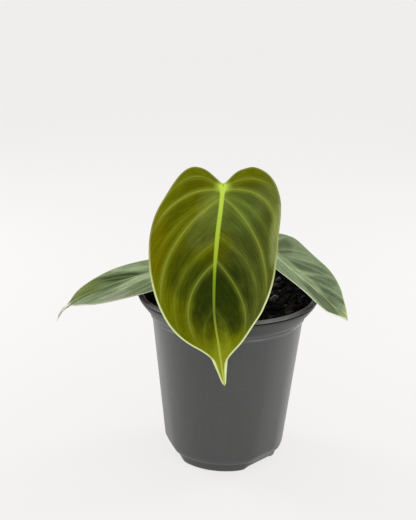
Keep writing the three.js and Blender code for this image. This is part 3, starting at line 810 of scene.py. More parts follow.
def pot_outside(sizes):
    """Profile from the middle of the floor up to the lip's top edge"""
    bead = sizes.bead / MM
    return with_rows(rounded((
        (0, 0, 0),
        (CENTRE_PAD_RADIUS, 0, 0.3),
        (CENTRE_PAD_RADIUS + 0.8, FLOOR_UNDERSIDE, 0.4),
        (FOOT_RADIUS - FOOT_WIDTH - 0.8, FLOOR_UNDERSIDE, 0.4),
        (FOOT_RADIUS - FOOT_WIDTH, 0, 0.3),
        (FOOT_RADIUS, 0, 0.4),
        (FOOT_RADIUS + 0.6, 0.8, 0.5),
        (FOOT_RADIUS + 0.8, 4.4, 0.4),
        (FOOT_RADIUS + 1.6, 5.2, 0.5),
        (WALL_FOOT_RADIUS - 0.8, WALL_FOOT_Z - 2.4, 1),
        (WALL_FOOT_RADIUS, WALL_FOOT_Z, 1.4),
        (WALL_TOP_RADIUS - 0.1, COLLAR_FOOT_Z - 1, 0.3),
        (WALL_TOP_RADIUS + 0.6 + bead, COLLAR_FOOT_Z + 0.2, 0.3),
        (WALL_TOP_RADIUS + 0.7 + bead, COLLAR_FOOT_Z + 0.8, 0.3),
        (WALL_TOP_RADIUS + 0.7, COLLAR_FOOT_Z + 1.3, 0.3),
        (WALL_TOP_RADIUS + 2.5, COLLAR_FOOT_Z + 3.8, 0.8),
        (WALL_TOP_RADIUS + 5, COLLAR_FOOT_Z + 7, 1.2),
        (LIP_RADIUS - 1.6, POT_HEIGHT - LIP_HEIGHT - 3.3, 0.8),
        (LIP_RADIUS - 0.6, POT_HEIGHT - LIP_HEIGHT - 1.5, 0.3),
        (LIP_RADIUS - 0.6, POT_HEIGHT - LIP_HEIGHT - 1, 0.2),
        (LIP_RADIUS - 1.3, POT_HEIGHT - LIP_HEIGHT - 0.6, 0.2),
        (LIP_RADIUS - 1.3, POT_HEIGHT - LIP_HEIGHT - 0.2, 0.2),
        (LIP_RADIUS, POT_HEIGHT - LIP_HEIGHT, 0.2),
        (LIP_RADIUS, POT_HEIGHT - 0.5, 0.3),
        (LIP_RADIUS - 0.8, POT_HEIGHT, 0.8),
    )), SLOT_RADII)


def pot_inside(sizes):
    """Profile from the lip's inner edge down to the middle of the floor"""
    lip, wall = sizes.lip / MM, sizes.wall / MM
    return with_rows(rounded((
        (LIP_RADIUS - lip + 0.5, POT_HEIGHT, 0),
        (LIP_RADIUS - lip, POT_HEIGHT - 0.6, 0.5),
        (LIP_RADIUS - lip - 0.5, POT_HEIGHT - 3, 0.8),
        (WALL_TOP_RADIUS + 3.5, COLLAR_FOOT_Z + 7, 1),
        (WALL_TOP_RADIUS + 1, COLLAR_FOOT_Z + 3.8, 0.8),
        (WALL_TOP_RADIUS - 0.3, COLLAR_FOOT_Z + 1.2, 0.6),
        (WALL_TOP_RADIUS - wall, COLLAR_FOOT_Z - 0.4, 0.8),
        (WALL_FOOT_RADIUS - wall, WALL_FOOT_Z + 0.2, 1),
        (WALL_FOOT_RADIUS - wall - 0.8, WALL_FOOT_Z - 2.2, 0.8),
        (FOOT_RADIUS + 0.4, WALL_FOOT_Z - 3.8, 0.6),
        (FOOT_RADIUS - 0.8, FLOOR_TOP + 1.6, 0.6),
        (FOOT_RADIUS - 2, FLOOR_TOP + 0.4, 0.4),
        (FOOT_RADIUS - 3, FLOOR_TOP, 0.4),
        (0, FLOOR_TOP, 0),
    )), SLOT_RADII)


def from_notch(degrees):
    """Angle of each direction from the middle of the notch that is nearest to it"""
    away = np.stack([(degrees - middle + 180) % 360 - 180 for middle in NOTCH_ANGLES])
    return np.take_along_axis(away, np.abs(away).argmin(0)[None], 0)[0]


def notched(profile, degrees, setback):
    """Rows of the pot's profile all round, pulled in behind the flat facets of the notches"""
    away = from_notch(degrees)[:, None]
    radius, height = profile.T
    ramp = 1 - smooth_step(np.abs(away), NOTCH_HALF_ANGLE - NOTCH_RAMP, NOTCH_HALF_ANGLE)
    lift = np.where(radius > FOOT_RADIUS - FOOT_WIDTH - 0.4, NOTCH_LIFT, 0) * ramp
    height = np.maximum(height, lift)
    reach = (FACET_REACH + FACET_SLOPE * height - setback) / np.cos(np.radians(away))
    reach = np.where(np.abs(away) < 2 * NOTCH_HALF_ANGLE, reach, 2 * LIP_RADIUS)
    gap = (reach - radius) / FACET_ROUNDING
    eased = radius - FACET_ROUNDING * np.logaddexp(0, -gap)
    return around(np.where(radius > 1, eased, radius), degrees[:, None], height)


def make_pot(sizes):
    """Pot's skin, with the drain slots as short tunnels between the floor's two faces"""
    degrees = np.arange(0, 360, POT_STEP_DEGREES)
    outside, inside = pot_outside(sizes), pot_inside(sizes)
    rows = np.concatenate([notched(outside, degrees, 0), notched(inside, degrees, FACET_WALL)], axis=1)
    radius, height = np.concatenate([outside, inside]).T
    in_floor = height < FLOOR_TOP + 0.1
    middles = (radius[:-1] + radius[1:]) / 2
    in_slot = in_floor[:-1] & in_floor[1:] & (middles > SLOT_RADII[0]) & (middles < SLOT_RADII[1])
    faces_away = from_notch(degrees + POT_STEP_DEGREES / 2)
    cut = (np.abs(faces_away) < SLOT_HALF_ANGLE)[:, None] & in_slot[None, :]
    # Painted shade darkens the top of the inner wall, the lip's groove, the flare, the foot and the
    #     # facets, which face the ground
    below_lip = POT_HEIGHT - LIP_HEIGHT - outside[:, 1]
    groove = GROOVE_SHADE * smooth_step(below_lip, 2.6, 0.7)
    flare = FLARE_SHADE * smooth_step(below_lip, 11, 8)
    foot = FOOT_SHADE * smooth_step(outside[:, 1], 34, 6)
    outer_shade = np.maximum(groove, flare) * (below_lip > 0.1) + foot
    inner_shade = smooth_step(inside[:, 1], POT_HEIGHT - 0.4, POT_HEIGHT - 1)
    facet = smooth_step(radius - np.hypot(rows[..., 0], rows[..., 1]), 0, 0.3)
    stain = np.concatenate([outer_shade, inner_shade]) + FACET_SHADE * facet
    # Stacked pots rub the top of the lip and the ring at the collar's foot dull, and these faces, which
    # catch the light, are painted pale as a highlight
    wear = np.exp(-((height - COLLAR_FOOT_Z - 0.4) / 0.9) ** 2) + (height > POT_HEIGHT - LIP_HEIGHT)
    wear = wear * (1 - stain)
    skin = Skin()
    # Below this row the inner wall is drawn as dark damp mix, as painted shade
    inner_shade_row = len(outside) + np.argmax(inside[:, 1] < POT_HEIGHT - 1)
    marks = {"stain": stain, "wear": wear, "shade": np.full(rows.shape[:2], 0.2)}
    for finish, part in enumerate((slice(0, inner_shade_row + 1), slice(inner_shade_row, rows.shape[1]))):
        left_out = cut[:, part.start:part.stop - 1]
        values = {mark: value[:, part] for mark, value in marks.items()}
        skin.net(rows[:, part], finish, closed=True, left_out=left_out, values=values)
    rim = np.flatnonzero(in_floor & (radius > SLOT_RADII[0] - 0.01) & (radius < SLOT_RADII[1] + 0.01))
    faces = [rim[rim < len(outside)], rim[rim >= len(outside)]]
    for middle in NOTCH_ANGLES:
        first = round((middle - SLOT_HALF_ANGLE) / POT_STEP_DEGREES)
        columns = np.arange(first, first + round(2 * SLOT_HALF_ANGLE / POT_STEP_DEGREES) + 1)
        columns %= len(degrees)
        for lower_row, upper_row in ((faces[0][0], faces[1][-1]), (faces[0][-1], faces[1][0])):
            skin.net(np.stack([rows[columns, lower_row], rows[columns, upper_row]]))
        for column in (columns[0], columns[-1]):
            loop = np.concatenate([rows[column, faces[0]], rows[column, faces[1]]])
            skin.add(loop, [list(range(len(loop)))])
    # Painted shade: a film of dark mix on the inner wall stands for the shade inside the pot
    inner_wall_shade = damp_mix("Painted shade on the inner wall", sizes.shade_black, linear("1c1a18"), 0.08)
    piece = skin.build("moulded_pot", [moulded_polypropylene(sizes), inner_wall_shade], sharp_degrees=38)
    seat(piece, "pot_plastic", "pot")


def soil_level(x, y):
    """Lumpy level of the potting mix, from a few crossing waves, heaped up a little towards the wall"""
    wave = np.sin(x / 4.1 + 1.3) * np.cos(y / 5.3 - 0.4)
    ripple = np.sin((x + y) / 2.9) * np.sin((x - 1.7 * y) / 3.7 + 2)
    heap = SOIL_HEAP * smooth_step(np.hypot(x, y), *HEAP_RADII)
    return SOIL_LEVEL + heap + SOIL_LUMP * (0.6 * wave + 0.4 * ripple)


def soil_edge(pot_sizes):
    """Radius of the potting mix where it meets the pot's wall"""
    profile = pot_inside(pot_sizes)[::-1]
    return np.interp(EDGE_LEVEL, profile[:, 1], profile[:, 0]) - SOIL_CLEARANCE


def template(shape):
    """Points and faces of a small closed form: a crumb's ball or a chip's block with cut corners"""
    form = bmesh.new()
    if shape == "chip":
        bmesh.ops.create_cube(form, size=2)
        bmesh.ops.bevel(form, geom=form.edges[:], offset=0.3, segments=1, affect="EDGES")
    else:
        bmesh.ops.create_icosphere(form, subdivisions=2 if shape == "lump" else 1, radius=1)
    points = np.array([corner.co for corner in form.verts])
    faces = [[corner.index for corner in face.verts] for face in form.faces]
    form.free()
    return points, faces


def scatter(skin, draw, shape, count, size, spread, flatness, edge, finish=0, sink=0.25):
    """Strews small forms over the potting mix, each with its own size, turn, dents and shade"""
    points, faces = template(shape)
    for _ in range(count):
        reach = size * math.exp(draw.gauss(0, spread))
        while True:
            radius, angle = (edge - reach) * math.sqrt(draw.random()), draw.uniform(0, 360)
            x, y = around(radius, angle)[:2]
            if math.hypot(x - STEM_X, y - STEM_Y) > 4.5 + reach:
                break
        stretch = Vector((1, draw.uniform(0.55, 0.95), flatness * draw.uniform(0.7, 1.3))) * reach
        tilt = Matrix.Rotation(draw.gauss(0, 0.35), 3, "X") @ Matrix.Rotation(draw.gauss(0, 0.35), 3, "Y")
        turn = np.array(tilt @ Matrix.Rotation(draw.uniform(0, 2 * math.pi), 3, "Z"))
        dents = np.array([draw.uniform(0.78, 1.18) for _ in points])[:, None]
        form = (points * dents * np.array(stretch)) @ turn.T
        height = soil_level(x, y) + stretch.z * (1 - 2 * sink)
        shade = min(max(draw.gauss(0.4, 0.32), 0), 1)
        skin.add(form + np.array([x, y, height]), faces, finish, {"shade": shade})


def make_soil(sizes, pot_sizes):
    """Potting mix: its body down to the pot's floor, with crumbs, bark chips and pale grit on top"""
    draw = random.Random(7)
    edge = soil_edge(pot_sizes)
    degrees = np.arange(0, 360, 3.0)
    hole = sizes.id_data.philodendron_stem.stem_radius / MM + 0.3
    out = np.linspace(0, 1, 34)
    reach = hole + (edge - hole) * out
    tops = around(reach[None, :], degrees[:, None], 0.0, STEM_X * (1 - out), STEM_Y * (1 - out))
    grit = np.array([[noise.noise(Vector(point) / 1.7) for point in row] for row in tops])
    tops[..., 2] = soil_level(tops[..., 0], tops[..., 1]) + 0.7 * grit
    tops[:, -1, 2] = EDGE_LEVEL - 0.2
    low = STEM_FOOT - 0.3
    hole_rows = np.stack([
        around(0 * degrees, degrees, low, STEM_X, STEM_Y),
        around(hole, degrees, low, STEM_X, STEM_Y),
    ], axis=1)
    inside = pot_inside(pot_sizes)
    side = inside[inside[:, 1] < EDGE_LEVEL - 1]
    side = np.stack([np.maximum(side[:, 0] - SOIL_CLEARANCE, 0), side[:, 1]], axis=-1)
    sides = notched(side, degrees, FACET_WALL + SOIL_CLEARANCE)
    sides[..., 2] += 0.3
    skin = Skin()
    rows = np.concatenate([hole_rows, tops, sides], axis=1)
    shades = np.full(rows.shape[:2], 0.35)
    skin.net(rows, closed=True, values={"shade": shades})
    scatter(skin, draw, "crumb", sizes.crumbs, 0.75 * sizes.crumb_size / MM, 0.35, 0.75, edge)
    scatter(skin, draw, "lump", sizes.crumbs // 6, 1.6 * sizes.crumb_size / MM, 0.3, 0.7, edge)
    peat = damp_mix("Damp peat", sizes.peat, linear("2a2622"), 0.12)
    body = skin.build("potting_mix", [peat])
    seat(body, "potting_mix", "soil")

    chips = Skin()
    scatter(chips, draw, "chip", sizes.chips, sizes.chip_size / MM, 0.3, 0.28, edge, sink=0.1)
    bark = damp_mix("Damp bark", sizes.bark, linear("3a352f"), 0.2)
    seat(chips.build("bark_chips", [bark], sharp_degrees=30), "potting_mix")

    grains = Skin()
    scatter(grains, draw, "crumb", 26, 0.7, 0.25, 0.8, edge, sink=0.2)
    scatter(grains, draw, "chip", 3, 1.7, 0.2, 0.35, edge, sink=0.1)
    # One larger chip leans against the mix on the right
    points, faces = template("chip")
    turn = Matrix.Rotation(math.radians(LEANING_CHIP_TURN), 3, "Y") @ Matrix.Rotation(0.5, 3, "X")
    leaning = (points * np.array(LEANING_CHIP_HALF_SIZES)) @ np.array(turn).T + np.array(LEANING_CHIP)
    grains.add(leaning, faces, values={"shade": np.full(len(points), 0.95)})
    pale = damp_mix("Pale grit", sizes.grit, linear("66675a"), 0.2)
    seat(grains.build("pale_grit", [pale], sharp_degrees=30), "potting_mix")


def stem_radius(sizes, z):
    """Radius of the main stem, which swells at its nodes and narrows a little upwards"""
    bulge = np.max([np.exp(-((z - node) / 0.9) ** 2) for node in NODE_HEIGHTS], axis=0)
    taper = 1 - 0.2 * smooth_step(z, SOIL_LEVEL, STEM_TOP)
    return (sizes.stem_radius / MM - NODE_BULGE) * taper + NODE_BULGE * bulge


def make_stem(sizes):
    """Short stem with the scars of its nodes, standing in the potting mix"""
    degrees = np.arange(0, 360, 7.5)
    z = np.linspace(STEM_FOOT + 1, STEM_TOP - 1.4, 60)
    radius = stem_radius(sizes, z)
    dome = np.linspace(0, 1, 8)[1:]
    z = np.concatenate([[STEM_FOOT, STEM_FOOT], z, STEM_TOP - 1.4 + 1.4 * np.sin(dome * math.pi / 2)])
    radius = np.concatenate([[0, radius[0] - 0.4], radius, radius[-1] * np.cos(dome * math.pi / 2)])
    wobble = 1 + 0.02 * np.sin(3 * np.radians(degrees))[:, None] * np.sin(z / 3)
    skin = Skin()
    skin.net(around(radius * wobble, degrees[:, None], z, STEM_X, STEM_Y), closed=True)
    skin_green = stalk_skin("Stem skin", sizes, SOIL_LEVEL - 2, STEM_TOP + 6)
    seat(skin.build("main_stem", [skin_green]), "stem_green", "stem")


class Blade:
    """A leaf's surface: points by distance across the blade and distance along its midrib"""

    def __init__(self, leaf):
        self.leaf = leaf
        self.blade_length = Line(leaf["midrib"]).length
        tail = (leaf["tail"],) if "tail" in leaf else ()
        self.midrib = Line(leaf["midrib"] + tail)
        self.length = self.midrib.length
        self.margins = [self.margin(outline) for outline in leaf["outlines"]]

    def margin(self, outline):
        """Half outline in millimetres: across the blade, and along its midrib"""
        points = [(x * self.leaf["half_width"], y * self.blade_length) for x, y in outline]
        if "tail" in self.leaf:
            run = self.length - self.blade_length
            points[-1:] = [(TAIL_HALF_WIDTH, self.blade_length + share * run) for share in (0.3, 0.9)]
            points.append((0, self.length))
        return Line(points)

    def frame(self, along):
        """Middle line's point there, and the directions across and out of the upper face"""
        leaf = self.leaf
        walked = np.clip(along, 0, self.length)
        tangent = self.midrib.direction(walked)
        origin = self.midrib.at(walked) + tangent * np.minimum(along, 0)[..., None]
        side = around(1, leaf["across"])
        side = unit(side - (tangent @ side)[..., None] * tangent)
        turn = np.radians(leaf["roll"] + leaf["twist"] * along / 100)[..., None]
        side = side * np.cos(turn) + np.cross(tangent, side) * np.sin(turn)
        return origin, side, np.cross(tangent, side)

    def place(self, across, along, lift):
        """Points on the blade's middle surface, lifted by the given heights"""
        origin, side, normal = self.frame(along)
        half = (across > 0).astype(int)
        folded = np.hypot(across, MIDRIB_ROUNDING) - MIDRIB_ROUNDING
        fold, arch = np.array(self.leaf["fold"])[half], np.array(self.leaf["arch"])[half]
        height = fold * folded - arch * across**2 + lift
        return origin + side * across[..., None] + normal * height[..., None]

    def rib(self, sign, rows, out):
        """Flat points of lines from the midrib to the margin, on the main veins and between them. Each
        row is the outer end, the foot, the leaving angle and how far the line keeps that direction."""
        margin = self.margins[0 if sign < 0 else 1]
        ends, feet, degrees, reach = rows.T[:4]
        end = margin.at(ends * margin.length) * (sign, 1)
        end[..., 0] = sign * np.maximum(sign * end[..., 0], 0)
        foot = np.stack([0 * feet, feet * self.length], axis=-1)
        leaving = np.radians(degrees)
        reach = (reach * np.linalg.norm(end - foot, axis=-1))[:, None]
        bend = foot + reach * np.stack([sign * np.sin(leaving), np.cos(leaving)], axis=-1)
        t = out[None, :, None]
        return (1 - t)**2 * foot[:, None] + 2 * t * (1 - t) * bend[:, None] + t**2 * end[:, None]


def blade_rows(veins, rows=130):
    """Rows of the net, each a line like a vein, closer together near the veins, and how far between two
    veins each one lies"""
    veins = np.array(veins)
    places, between = [], []
    for start, end in zip(veins[:-1], veins[1:]):
        steps = max(6, round(rows * (end[0] - start[0])))
        eased = (1 - np.cos(np.linspace(0, math.pi, steps, endpoint=False))) / 2
        places.append(start + (end - start) * eased[:, None])
        between.append(eased)
    return np.vstack(places + [veins[-1:]]), np.append(np.concatenate(between), 0)


def make_blade(name, sizes, upper_skin, lower_skin):
    """One velvet blade: sunken veins above, raised ribs below, and a thin rounded margin"""
    leaf = LEAVES[name]
    blade = Blade(leaf)
    out = (1 - np.cos(np.linspace(0, math.pi, 40))) / 2
    skin = Skin()
    for sign, veins in zip((-1, 1), leaf["veins"]):
        places, between = blade_rows(veins)
        shares = places[:, 0]
        flat = blade.rib(sign, places, out)
        across, along = flat[..., 0], flat[..., 1]
        margin = blade.margins[0 if sign < 0 else 1].points * (sign, 1)
        to_margin, _ = nearest(flat, margin)
        gap = np.full(across.shape, 99.0)
        strength = np.zeros(across.shape)
        for vein in veins[1:-1]:
            line = blade.rib(sign, np.array([vein]), np.linspace(0, 1, 60))[0]
            distance, run = nearest(flat, line)
            shown = vein[4] * (1 - 0.9 * smooth_step(run, 0.6, 1))
            closer = distance < gap
            gap = np.where(closer, distance, gap)
            strength = np.where(closer, shown, strength)
        grooves = strength * np.exp(-(gap / VEIN_HALF_WIDTH) ** 2)
        body = np.clip(along / blade.blade_length, 0, 1)
        half_rib = np.interp(along, *np.array(leaf["rib"]).T)
        half_rib = half_rib + 0.9 * np.exp(-(along / 3) ** 2)
        aside = np.abs(across) / half_rib + smooth_step(along, -1, -3.5)
        midrib = 1 - smooth_step(aside, 0.75, 1.35)
        joint = np.exp(-np.hypot(across, along) / JOINT_REACH)
        knob = np.exp(-(across / 1.8) ** 2 - ((along - 0.5) / 3.5) ** 2)
        bump = np.sin(np.pi * between)[:, None] * np.sin(np.pi * out)
        wave = leaf["wave"] * np.sin(shares * 23 + 1.1 * sign)[:, None] * out**3
        wave = wave * np.minimum(to_margin[:, :1] / 8, 1) * (1 - body) ** 0.5
        groove = sizes.groove / MM * np.maximum(0.8 * grooves, midrib * (1 - body))
        lift = leaf["quilt"] * bump + wave + 0.7 * knob
        half = sizes.thickness / MM / 2 * (1 - 0.5 * smooth_step(out, 0.9, 1))
        half = np.minimum(half, TIP_HALF_THICKNESS + 0.25 * np.abs(across).max(1)[:, None])
        rib = np.exp(-(across / (1.1 * half_rib)) ** 2) * (1 - body) ** 0.7 * smooth_step(along, -3, 0)
        ridge = sizes.ridge / MM * rib + VEIN_RIDGE * grooves * (1 - rib)
        upper = blade.place(across, along, lift + half - groove)
        lower = blade.place(across, along, lift - half - ridge)
        outward = unit(flat[:, -1] - flat[:, -6] + np.array([1e-6 * sign, 0]))
        edge = flat[:, -1] + 0.8 * half[:, -1:] * outward
        rim = blade.place(edge[:, 0], edge[:, 1], lift[:, -1])
        values = {
            "across": across, "along": along, "gap": gap, "strength": strength, "aside": aside,
            "margin": to_margin, "joint": joint, "share": body,
            "run": RIB_MAP_SIZE[0] * out * np.ones(across.shape),
            "row": (RIB_MAP_SIZE[1] * shares[:, None] + 200 * sign) * np.ones(across.shape),
        }
        skin.net(upper, values=values)
        skin.net(lower, finish=1, values=values)
        rims = np.stack([upper[:, -1], rim, lower[:, -1]], axis=1)
        rim_values = {key: np.repeat(value[:, -1:], 3, axis=1) for key, value in values.items()}
        skin.net(rims, values=rim_values)
    maps = (("flat", "across", "along"), ("ribbed", "run", "row"))
    piece = skin.build(f"velvet_leaf_{name}", [upper_skin, lower_skin], maps=maps)
    seat(piece, "young_leaf" if name == "front" else "grown_leaf", f"leaf_{name}")


def make_stalk(name, sizes, skin_green):
    """One leaf stalk: a flared foot on the stem, a round shaft and a swollen joint under the blade"""
    leaf = LEAVES[name]
    stalk = leaf["stalk"]
    blade = Blade(leaf)
    lean = math.radians(stalk["rise"])
    start = around(
        float(stem_radius(sizes, np.array(float(stalk["height"])))) - 1.2,
        stalk["angle"], stalk["height"], STEM_X, STEM_Y,
    )
    outward = around(math.cos(lean), stalk["angle"], math.sin(lean))
    origin, _, normal = blade.frame(np.array(0.0))
    end = origin + 0.1 * normal
    path = Line(
        [start, start + 4.5 * outward, *stalk["bend"], end - 7.5 * normal, end - 3 * normal, end],
        power=0.5,
    )
    steps = np.linspace(0, path.length, 70)
    share = steps / path.length
    middles, slopes = path.at(steps), path.direction(steps)
    radius = sizes.stalk_radius / MM * (
        0.92 + 0.55 * np.exp(-steps / 2.5) + 0.1 * np.exp(-((path.length - steps - 7) / 4) ** 2)
    )
    radius = radius + 0.8 * np.exp(-(path.length - steps) / 1.2)
    side = unit(np.cross(slopes, np.array([0.1, 1.0, 0.05])))
    up = np.cross(side, slopes)
    turns = np.linspace(0, 2 * math.pi, 20, endpoint=False)[:, None]
    # A shallow channel runs along the upper side
    channel = 1 - 0.14 * np.exp(-((turns - math.pi / 2) / 0.5) ** 2) * (1 - share) ** 0.3
    ring = side[None] * np.cos(turns)[..., None] + up[None] * np.sin(turns)[..., None]
    rows = middles[None] + ring * (radius * channel)[..., None]
    ends = [np.broadcast_to(middles[n], (len(turns), 1, 3)) for n in (0, -1)]
    skin = Skin()
    skin.net(np.concatenate([ends[0], rows, ends[1]], axis=1), closed=True)
    seat(skin.build(f"petiole_{name}", [skin_green]), "stalk_green", f"stalk_{name}")


class PHILODENDRON_OT_stage(bpy.types.Operator):
    """Lay the pale floor, and place the soft lights and the camera"""
    bl_idname = "philodendron.stage"
    bl_label = "Stage"

    def execute(self, context):
        scene = context.scene
        sizes = scene.philodendron_stage
        scene.view_settings.view_transform = "Standard"
        skin = Skin()
        degrees = np.arange(0, 360, 5.0)
        rings = np.array([0, 200, 800, 3000, 12000])
        skin.net(around(rings[None, :], degrees[:, None], 0.0), closed=True)
        floor = skin.build("pale_floor", [opal_acrylic(sizes)])

        world = bpy.data.worlds.new("Even studio light")
        world.use_nodes = True
        tree = world.node_tree
        tree.nodes.clear()
        sky = add_node(tree, "Background", {
            "Color": opaque(linear("fcfbfa")), "Strength": sizes.room,
        })
        add_node(tree, "OutputWorld", {"Surface": sky.outputs[0]})
        scene.world = world

        for name, place, breadth, height, power in (
            ("Front softbox", (0.35, -0.75, 1.05), 0.9, 0.9, sizes.softbox),
            ("Left strip light", (-0.6, 0.32, 0.2), 0.3, 0.5, 1.05 * sizes.strip),
            ("Right strip light", (0.6, 0.32, 0.2), 0.3, 0.5, 0.9 * sizes.strip),
        ):
            light = bpy.data.lights.new(name, "AREA")
            light.shape = "RECTANGLE"
            light.size = breadth
            light.size_y = height
            light.energy = power
            lamp = bpy.data.objects.new(name, light)
            lamp.location = place
            towards = Vector(AIM) * MM - lamp.location
            lamp.rotation_euler = towards.to_track_quat("-Z", "Y").to_euler()
            scene.collection.objects.link(lamp)

        camera_data = bpy.data.cameras.new("Camera")
        camera_data.lens = sizes.lens
        camera_data.sensor_width = SENSOR_WIDTH
        camera = bpy.data.objects.new("Camera", camera_data)
        back = Vector((0, -math.cos(sizes.elevation), math.sin(sizes.elevation)))
        level = Vector((1, 0, 0))
        upright = level.cross(-back)
        right = level * math.cos(sizes.roll) + upright * math.sin(sizes.roll)
        up = upright * math.cos(sizes.roll) - level * math.sin(sizes.roll)
        turn = Matrix((right, up, back)).transposed().to_4x4()
        camera.matrix_world = Matrix.Translation(Vector(AIM) * MM + sizes.distance * back) @ turn
        scene.collection.objects.link(camera)
        scene.camera = camera
        return {"FINISHED"}


class PHILODENDRON_OT_pot(bpy.types.Operator):
    """Mould the nursery pot, with its lip, collar, foot notches and drain slots"""
    bl_idname = "philodendron.pot"
    bl_label = "Pot"

    def execute(self, context):
        make_pot(context.scene.philodendron_pot)
        return {"FINISHED"}


class PHILODENDRON_OT_soil(bpy.types.Operator):
    """Fill the pot with damp potting mix, crumbs, bark chips and grit"""
    bl_idname = "philodendron.soil"
    bl_label = "Potting mix"

    def execute(self, context):
        make_soil(context.scene.philodendron_soil, context.scene.philodendron_pot)
        return {"FINISHED"}


class PHILODENDRON_OT_stems(bpy.types.Operator):
    """Grow the short stem and the three leaf stalks"""
    bl_idname = "philodendron.stems"
    bl_label = "Stem and stalks"

    def execute(self, context):
        sizes = context.scene.philodendron_stem
        make_stem(sizes)
        skin_green = stalk_skin("Stalk skin", sizes, SOIL_LEVEL, SOIL_LEVEL + 55)
        for name in LEAVES:
            make_stalk(name, sizes, skin_green)
        return {"FINISHED"}


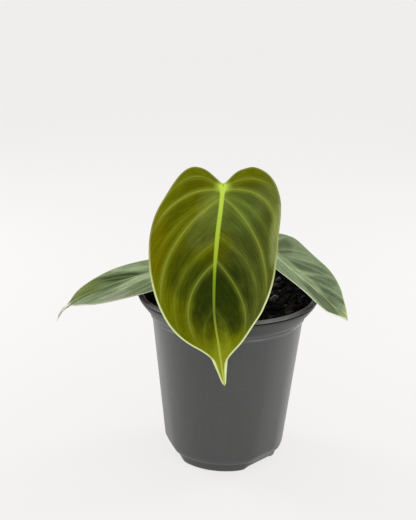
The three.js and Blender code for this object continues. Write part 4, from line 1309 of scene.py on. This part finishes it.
class PHILODENDRON_OT_leaves(bpy.types.Operator):
    """Grow the three velvet blades"""
    bl_idname = "philodendron.leaves"
    bl_label = "Leaves"

    def execute(self, context):
        sizes = context.scene.philodendron_leaf
        lower_skin = wine_red_underside(sizes)
        # The grown blades' own sheen is kept faint, as their colours carry painted sheen
        grown = {
            "cells": 0.2, "bands": (26, 5, 0.2), "pile_glow": (0.04, linear("b4c49a")), "gloss": 0.08,
        }
        upper_skins = {
            "front": velvet(
                "Young velvet blade", sizes.young,
                patches=(
                    ((24, 40), (24, 58), 0, 0.9, linear("4e5820")),
                    ((7, 14), (17, 18), 0, 0.7, linear("60742f")),
                    # Greyish painted sheen left of the midrib
                    ((-7, 27), (9, 17), 25, 0.65, linear("66732e")),
                    ((-4, 14), (11, 15), 0, 0.4, linear("84933a")),
                    ((2.5, 62), (21, 27), 0, 0.97, sizes.young_deep),
                    ((8, 74), (9, 12), 0, 0.8, linear("3c460c")),
                    ((-33, 42), (11, 36), 0, 0.8, sizes.young_warm),
                    ((-24, 66), (9, 21), -20, 0.6, linear("6c7206")),
                    # Painted sheen where the right margin bends back
                    ((32, 25), (6.5, 26), 0, 0.55, linear("96a060")),
                    ((24, 4), (10, 13), 0, 0.4, linear("747e3c")),
                    ((-15, 51), (11, 17), 0, 0.65, linear("414e0a")),
                    ((2, 96), (7, 26), 0, 0.5, linear("8e961c")),
                ),
                cells=0.45,
                vein=linear("929f3a"), midrib=(
                    (0, "c0dc50"), (0.15, "b2ce48"), (0.3, "a9c03e"), (0.38, "9cb62c"), (0.46, "7c9a18"),
                    (0.62, "6e832a"), (0.72, "9aa42a"), (1, "c4cc66"),
                ),
                margin=(linear("dee8a4"), (34, 62), 1.25), tip=(linear("8c9618"), (80, 106)),
                bands=(30, 5, 0.22), pile_glow=(0.01, linear("7c8a1c")), gloss=0.02,
            ),
            "left": velvet(
                "Grown velvet blade, left", sizes.grown,
                patches=(
                    # Painted light and shade: pale patches stand for sheen on the crests, dark ones for
                    # shade in the hollows
                    ((-16, 34), (6, 18), 38, 0.75, sizes.grown_pale_and_sheen),
                    ((8, 29), (10, 20), -8, 0.8, linear("95a77f")),
                    ((-8, 44.5), (7.5, 26), 20, 1, sizes.grown_shade),
                    ((1.5, 52), (6, 21), 5, 0.9, linear("46562a")),
                    ((14, 31), (5, 10), -20, 0.75, linear("5c6b48")),
                    ((-22, 36), (4.5, 9), 20, 0.7, linear("6c7666")),
                    ((-7, 62), (14, 15), 0, 0.85, linear("576324")),
                    ((18, 46), (7, 15), 10, 0.6, linear("8b907a")),
                ),
                vein=linear("7c8c60"), midrib=(
                    (0, "a3b38a"), (0.5, "8c9e74"), (0.75, "6f7f4a"), (0.93, "6d7848"), (1, "e6e3da"),
                ),
                margin=(linear("a8ae96"), (10, 30), 0.9), tip=(linear("e9e7df"), (71, 76)),
                **grown,
            ),
            "right": velvet(
                "Grown velvet blade, right", sizes.grown,
                patches=(
                    # Painted light and shade: pale patches stand for sheen on the crests, dark ones for
                    # shade in the hollows
                    ((-8, 41), (14, 21), 25, 1, linear("404d28")),
                    ((10, 3), (12, 7), -20, 0.85, linear("4f5b38")),
                    ((4, 13), (4.5, 10), -15, 0.8, linear("52613e")),
                    ((13, 13), (4.5, 15), -50, 0.5, linear("7f8e6c")),
                    ((12, 21), (4.8, 22), -42, 0.75, linear("48583a")),
                    ((9.5, 27.5), (2.8, 14), -45, 0.6, sizes.grown_pale_and_sheen),
                    ((11.5, 33.5), (5.5, 14), -45, 0.75, linear("47563a")),
                    ((5.5, 43), (4, 14), -22, 0.85, linear("45543a")),
                    ((1, 18), (4.5, 30), 0, 0.75, sizes.grown_pale_and_sheen),
                ),
                vein=linear("8b9b78"), midrib=(
                    (0, "9dac86"), (0.4, "91a282"), (0.75, "7a8a5c"), (1, "a2a878"),
                ),
                margin=(linear("c0caae"), (4, 20), 1), tip=(linear("9fa670"), (50, 59)),
                **grown,
            ),
        }
        for name in LEAVES:
            make_blade(name, sizes, upper_skins[name], lower_skin)
        return {"FINISHED"}


class PHILODENDRON_PT_parts(bpy.types.Panel):
    """Sizes and colours of the plant, with a button for each group of pieces"""
    bl_idname = "PHILODENDRON_PT_parts"
    bl_label = "Potted Philodendron"
    bl_space_type = "VIEW_3D"
    bl_region_type = "UI"
    bl_category = "Plant"

    def draw(self, context):
        for operator, group in PARTS:
            box = self.layout.box()
            sizes = getattr(context.scene, group)
            for name in sizes.__annotations__:
                box.prop(sizes, name)
            box.operator(operator.bl_idname)


GROUPS = {
    "philodendron_stage": StageProperties,
    "philodendron_pot": PotProperties,
    "philodendron_soil": SoilProperties,
    "philodendron_stem": StemProperties,
    "philodendron_leaf": LeafProperties,
}
PARTS = (
    (PHILODENDRON_OT_stage, "philodendron_stage"),
    (PHILODENDRON_OT_pot, "philodendron_pot"),
    (PHILODENDRON_OT_soil, "philodendron_soil"),
    (PHILODENDRON_OT_stems, "philodendron_stem"),
    (PHILODENDRON_OT_leaves, "philodendron_leaf"),
)
CLASSES = (*GROUPS.values(), *(operator for operator, _ in PARTS), PHILODENDRON_PT_parts)


def register():
    for kind in CLASSES:
        bpy.utils.register_class(kind)
    for name, group in GROUPS.items():
        setattr(bpy.types.Scene, name, PointerProperty(type=group))


def unregister():
    for name in GROUPS:
        delattr(bpy.types.Scene, name)
    for kind in reversed(CLASSES):
        bpy.utils.unregister_class(kind)


def main():
    register()
    bpy.ops.philodendron.stage()
    bpy.ops.philodendron.pot()
    bpy.ops.philodendron.soil()
    bpy.ops.philodendron.stems()
    bpy.ops.philodendron.leaves()
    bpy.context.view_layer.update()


if __name__ == "__main__":
    main()
